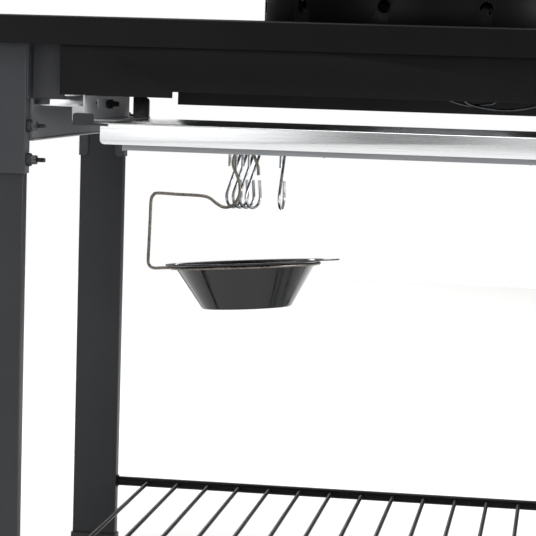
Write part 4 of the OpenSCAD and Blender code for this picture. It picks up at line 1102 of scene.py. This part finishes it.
post = {"half": 58, "top": 1122, "rod": 4, "collar": 11, "collarTop": 1089, "bend": 14, "low": 1074}
q = post
route = bentLine([(-q["half"], kettle["y"], q["low"]), (-q["half"], kettle["y"], q["top"]),
                  (q["half"], kettle["y"], q["top"]), (q["half"], kettle["y"], q["low"])], q["bend"])
parts = [addWire(route, q["rod"])]
for x in (-q["half"], q["half"]):
    parts.append(addTurned([(0, q["low"]), (q["collar"], q["low"]), (q["collar"], q["collarTop"] - 1.5),
                            (q["collar"] - 1.5, q["collarTop"]), (0, q["collarTop"])],
                           (x, kettle["y"], 0), 40))
clearSelection()
finish(joined(parts), "lidHandle", polishedChrome, "lid", ["lid_handle"], angle=40)
finish(placed(makeGrip(14), (0, kettle["y"], q["top"]), (0, 90, 0)), "lidHandleGrip", blackNylon,
       "lid", ["lid_grip"])

# the gauge: a chromed case with a white dial, printed scale, glass and red pointer
gauge = {"case": 31, "inner": 28.5, "depth": 17, "dial": 7, "marks": 21, "from": 240, "to": -60}
e = gauge
case = addTurned([(0, -38), (2.2, -38), (3, -36), (3, -0.5), (8, -0.5), (8, 3), (e["case"] - 2, 3),
                  (e["case"], 5), (e["case"], e["depth"] - 1.5), (e["case"] - 1, e["depth"]),
                  (e["inner"] + 0.6, e["depth"]), (e["inner"], e["depth"] - 0.8), (e["inner"], e["dial"]),
                  (0, e["dial"])], steps=96)
clearSelection()
boss = addTurned([(0, 7), (1.2, 7), (1.2, 12), (0, 12)], steps=24)
clearSelection()
finish(onDome(joined([case, boss]), -90, lid["gaugeAt"]), "thermometerCase", polishedChrome,
       "lid",
       ["thermometer_case"], angle=40)
dial = addTurned([(0, e["dial"] + 0.1), (e["inner"] - 0.2, e["dial"] + 0.1),
                  (e["inner"] - 0.2, e["dial"] + 0.5),
                  (0, e["dial"] + 0.5)], steps=96)
clearSelection()
finish(onDome(dial, -90, lid["gaugeAt"]), "thermometerDial", dialWhite, "lid")
marks = []
tickSteps, longTickEvery = 30, 5
for i in range(tickSteps + 1):
    long = 4.5 if i % longTickEvery == 0 else 2.5
    tick = addBox((e["inner"] - 2.5 - long, -0.25 if i % longTickEvery else -0.4, e["dial"] + 0.5),
                  (e["inner"] - 2.5, 0.25 if i % longTickEvery else 0.4, e["dial"] + 0.62))
    clearSelection()
    marks.append(placed(tick, (0, 0, 0), (0, 0, e["from"] + (e["to"] - e["from"]) * i / tickSteps)))
finish(onDome(joined(marks), -90, lid["gaugeAt"]), "thermometerMarks", dialInk, "lid")
needle = addBox((-8, -1.5, 10.1), (23, 1.5, 10.9))
pick("FACE", lambda f: f.normal.x > 0.9)
bpy.ops.transform.resize(value=(1, 0.3, 1))
softenEdges(needle, 0.15)
disc = addTurned([(1.4, 10), (3, 10), (3.2, 10.2), (3.2, 11.2), (3, 11.4), (1.4, 11.4), (1.4, 10)],
                 steps=32)
clearSelection()
finish(onDome(placed(joined([needle, disc]), (0, 0, 0), (0, 0, 150)), -90, lid["gaugeAt"]),
       "thermometerNeedle",
       redLacquer, "needle", ["thermometer_needle"])
glass = addTurned([(0, 15.2), (e["inner"] - 0.1, 15.2), (e["inner"] - 0.1, 16.4), (0, 16.4)], steps=96)
clearSelection()
finish(onDome(glass, -90, lid["gaugeAt"]), "thermometerGlass", gaugeGlass, "lid")

pin = addTurned([(0, -24), (4.6, -24), (5, -23.6), (5, -19.6), (4.6, -19.2), (3, -19.2), (3, 21.4),
                 (2.4, 22),
                 (0, 22)], steps=32)
clearSelection()
finish(placed(pin, (0, pinAt.y, pinAt.z), (0, 90, 0)), "hingePin", zincPlate,
       stands=["hinge_pin"])
print("lid made")

studio = {
    "floorSize": 10,            # metres; it ends 4 m behind the grill, where it is still fully lit
    "floorBack": -1,
    "floorColour": "#f1f1f0",
    "worldSeen": 1.0,           # brightness of the backdrop that the camera sees
    "worldLight": 0.13,          # brightness that lights the object from all round
}

clearSelection()
bpy.ops.mesh.primitive_grid_add(size=studio["floorSize"], x_subdivisions=8, y_subdivisions=8,
                                location=(0, studio["floorBack"], 0))
floor = bpy.context.object
floor.name = "studioFloor"
floorMaterial, tree, shader, place = newMaterial("paleStudioFloor",
                                                 {"Roughness": 0.85, "Specular IOR Level": 0.2})
cloud = addNode(tree, "ShaderNodeTexNoise", {"Scale": 0.8, "Detail": 2.0}, {"Vector": place})
tone = addNode(tree, "ShaderNodeValToRGB",
               {"stops": [(0.3, hexColour("#efefee")), (0.7, hexColour(studio["floorColour"]))]},
               {"Fac": cloud.outputs["Fac"]})
tree.links.new(tone.outputs["Color"], shader.inputs["Base Color"])
floor.data.materials.append(floorMaterial)


def addSoftbox(name, at, aim, size, watts):
    bpy.ops.object.light_add(type="AREA", location=at)
    lamp = bpy.context.object
    lamp.name = name
    lamp.data.shape = "RECTANGLE"
    lamp.data.size, lamp.data.size_y = size
    lamp.data.energy = watts
    lamp.rotation_euler = (Vector(aim) - Vector(at)).to_track_quat("-Z", "Y").to_euler()
    lamp.visible_camera = False
    return lamp


addSoftbox("topSoftbox", (0.3, -0.3, 4.2), (0, 0, 0.5), (5, 5), 330)
addSoftbox("rightSoftbox", (3.8, -0.9, 1.1), (0, 0, 0.6), (2.4, 1.7), 110)
addSoftbox("leftFrontSoftbox", (-2.5, -4.3, 1.5), (0, 0, 0.6), (2.3, 2.6), 32)
addSoftbox("rightFrontSoftbox", (1.0, -4.6, 1.5), (0, 0, 0.6), (1.7, 2.6), 12)
addSoftbox("backSoftbox", (-1.5, 4.6, 2.2), (0, 0, 0.6), (2.5, 2.0), 60)

world = bpy.data.worlds.new("studioWorld")
bpy.context.scene.world = world
world.use_nodes = True
tree = world.node_tree
tree.nodes.clear()
path = addNode(tree, "ShaderNodeLightPath")
level = addNode(tree, "ShaderNodeMapRange",
                {"To Min": studio["worldLight"], "To Max": studio["worldSeen"]},
                {"Value": path.outputs["Is Camera Ray"]})
glow = addNode(tree, "ShaderNodeBackground", {"Color": (1, 1, 1, 1)},
               {"Strength": level.outputs["Result"]})
addNode(tree, "ShaderNodeOutputWorld", None, {"Surface": glow.outputs["Background"]})
bpy.context.scene.view_settings.view_transform = "Standard"

lens = {
    "eye": (0.147, -2.3215, 0.650),     # metres
    "left": 0.1464, "down": 0.0971, "roll": 0.0303,   # radians
    "focal": 136.4, "sensor": 36,       # millimetres
}
bpy.ops.object.camera_add(location=lens["eye"])
camera = bpy.context.object
bpy.context.scene.camera = camera
camera.data.lens = lens["focal"]
camera.data.sensor_width = lens["sensor"]
camera.data.clip_end = 200
ahead = Vector((-math.sin(lens["left"]), math.cos(lens["left"]), 0))
forward = ahead * math.cos(lens["down"]) - Vector((0, 0, 1)) * math.sin(lens["down"])
sideways = Vector((math.cos(lens["left"]), math.sin(lens["left"]), 0))
upward = sideways.cross(forward)
right = sideways * math.cos(lens["roll"]) + upward * math.sin(lens["roll"])
above = right.cross(forward)
camera.matrix_world = Matrix.Translation(lens["eye"]) @ Matrix((right, above,
        -forward)).transposed().to_4x4()
print("studio made")
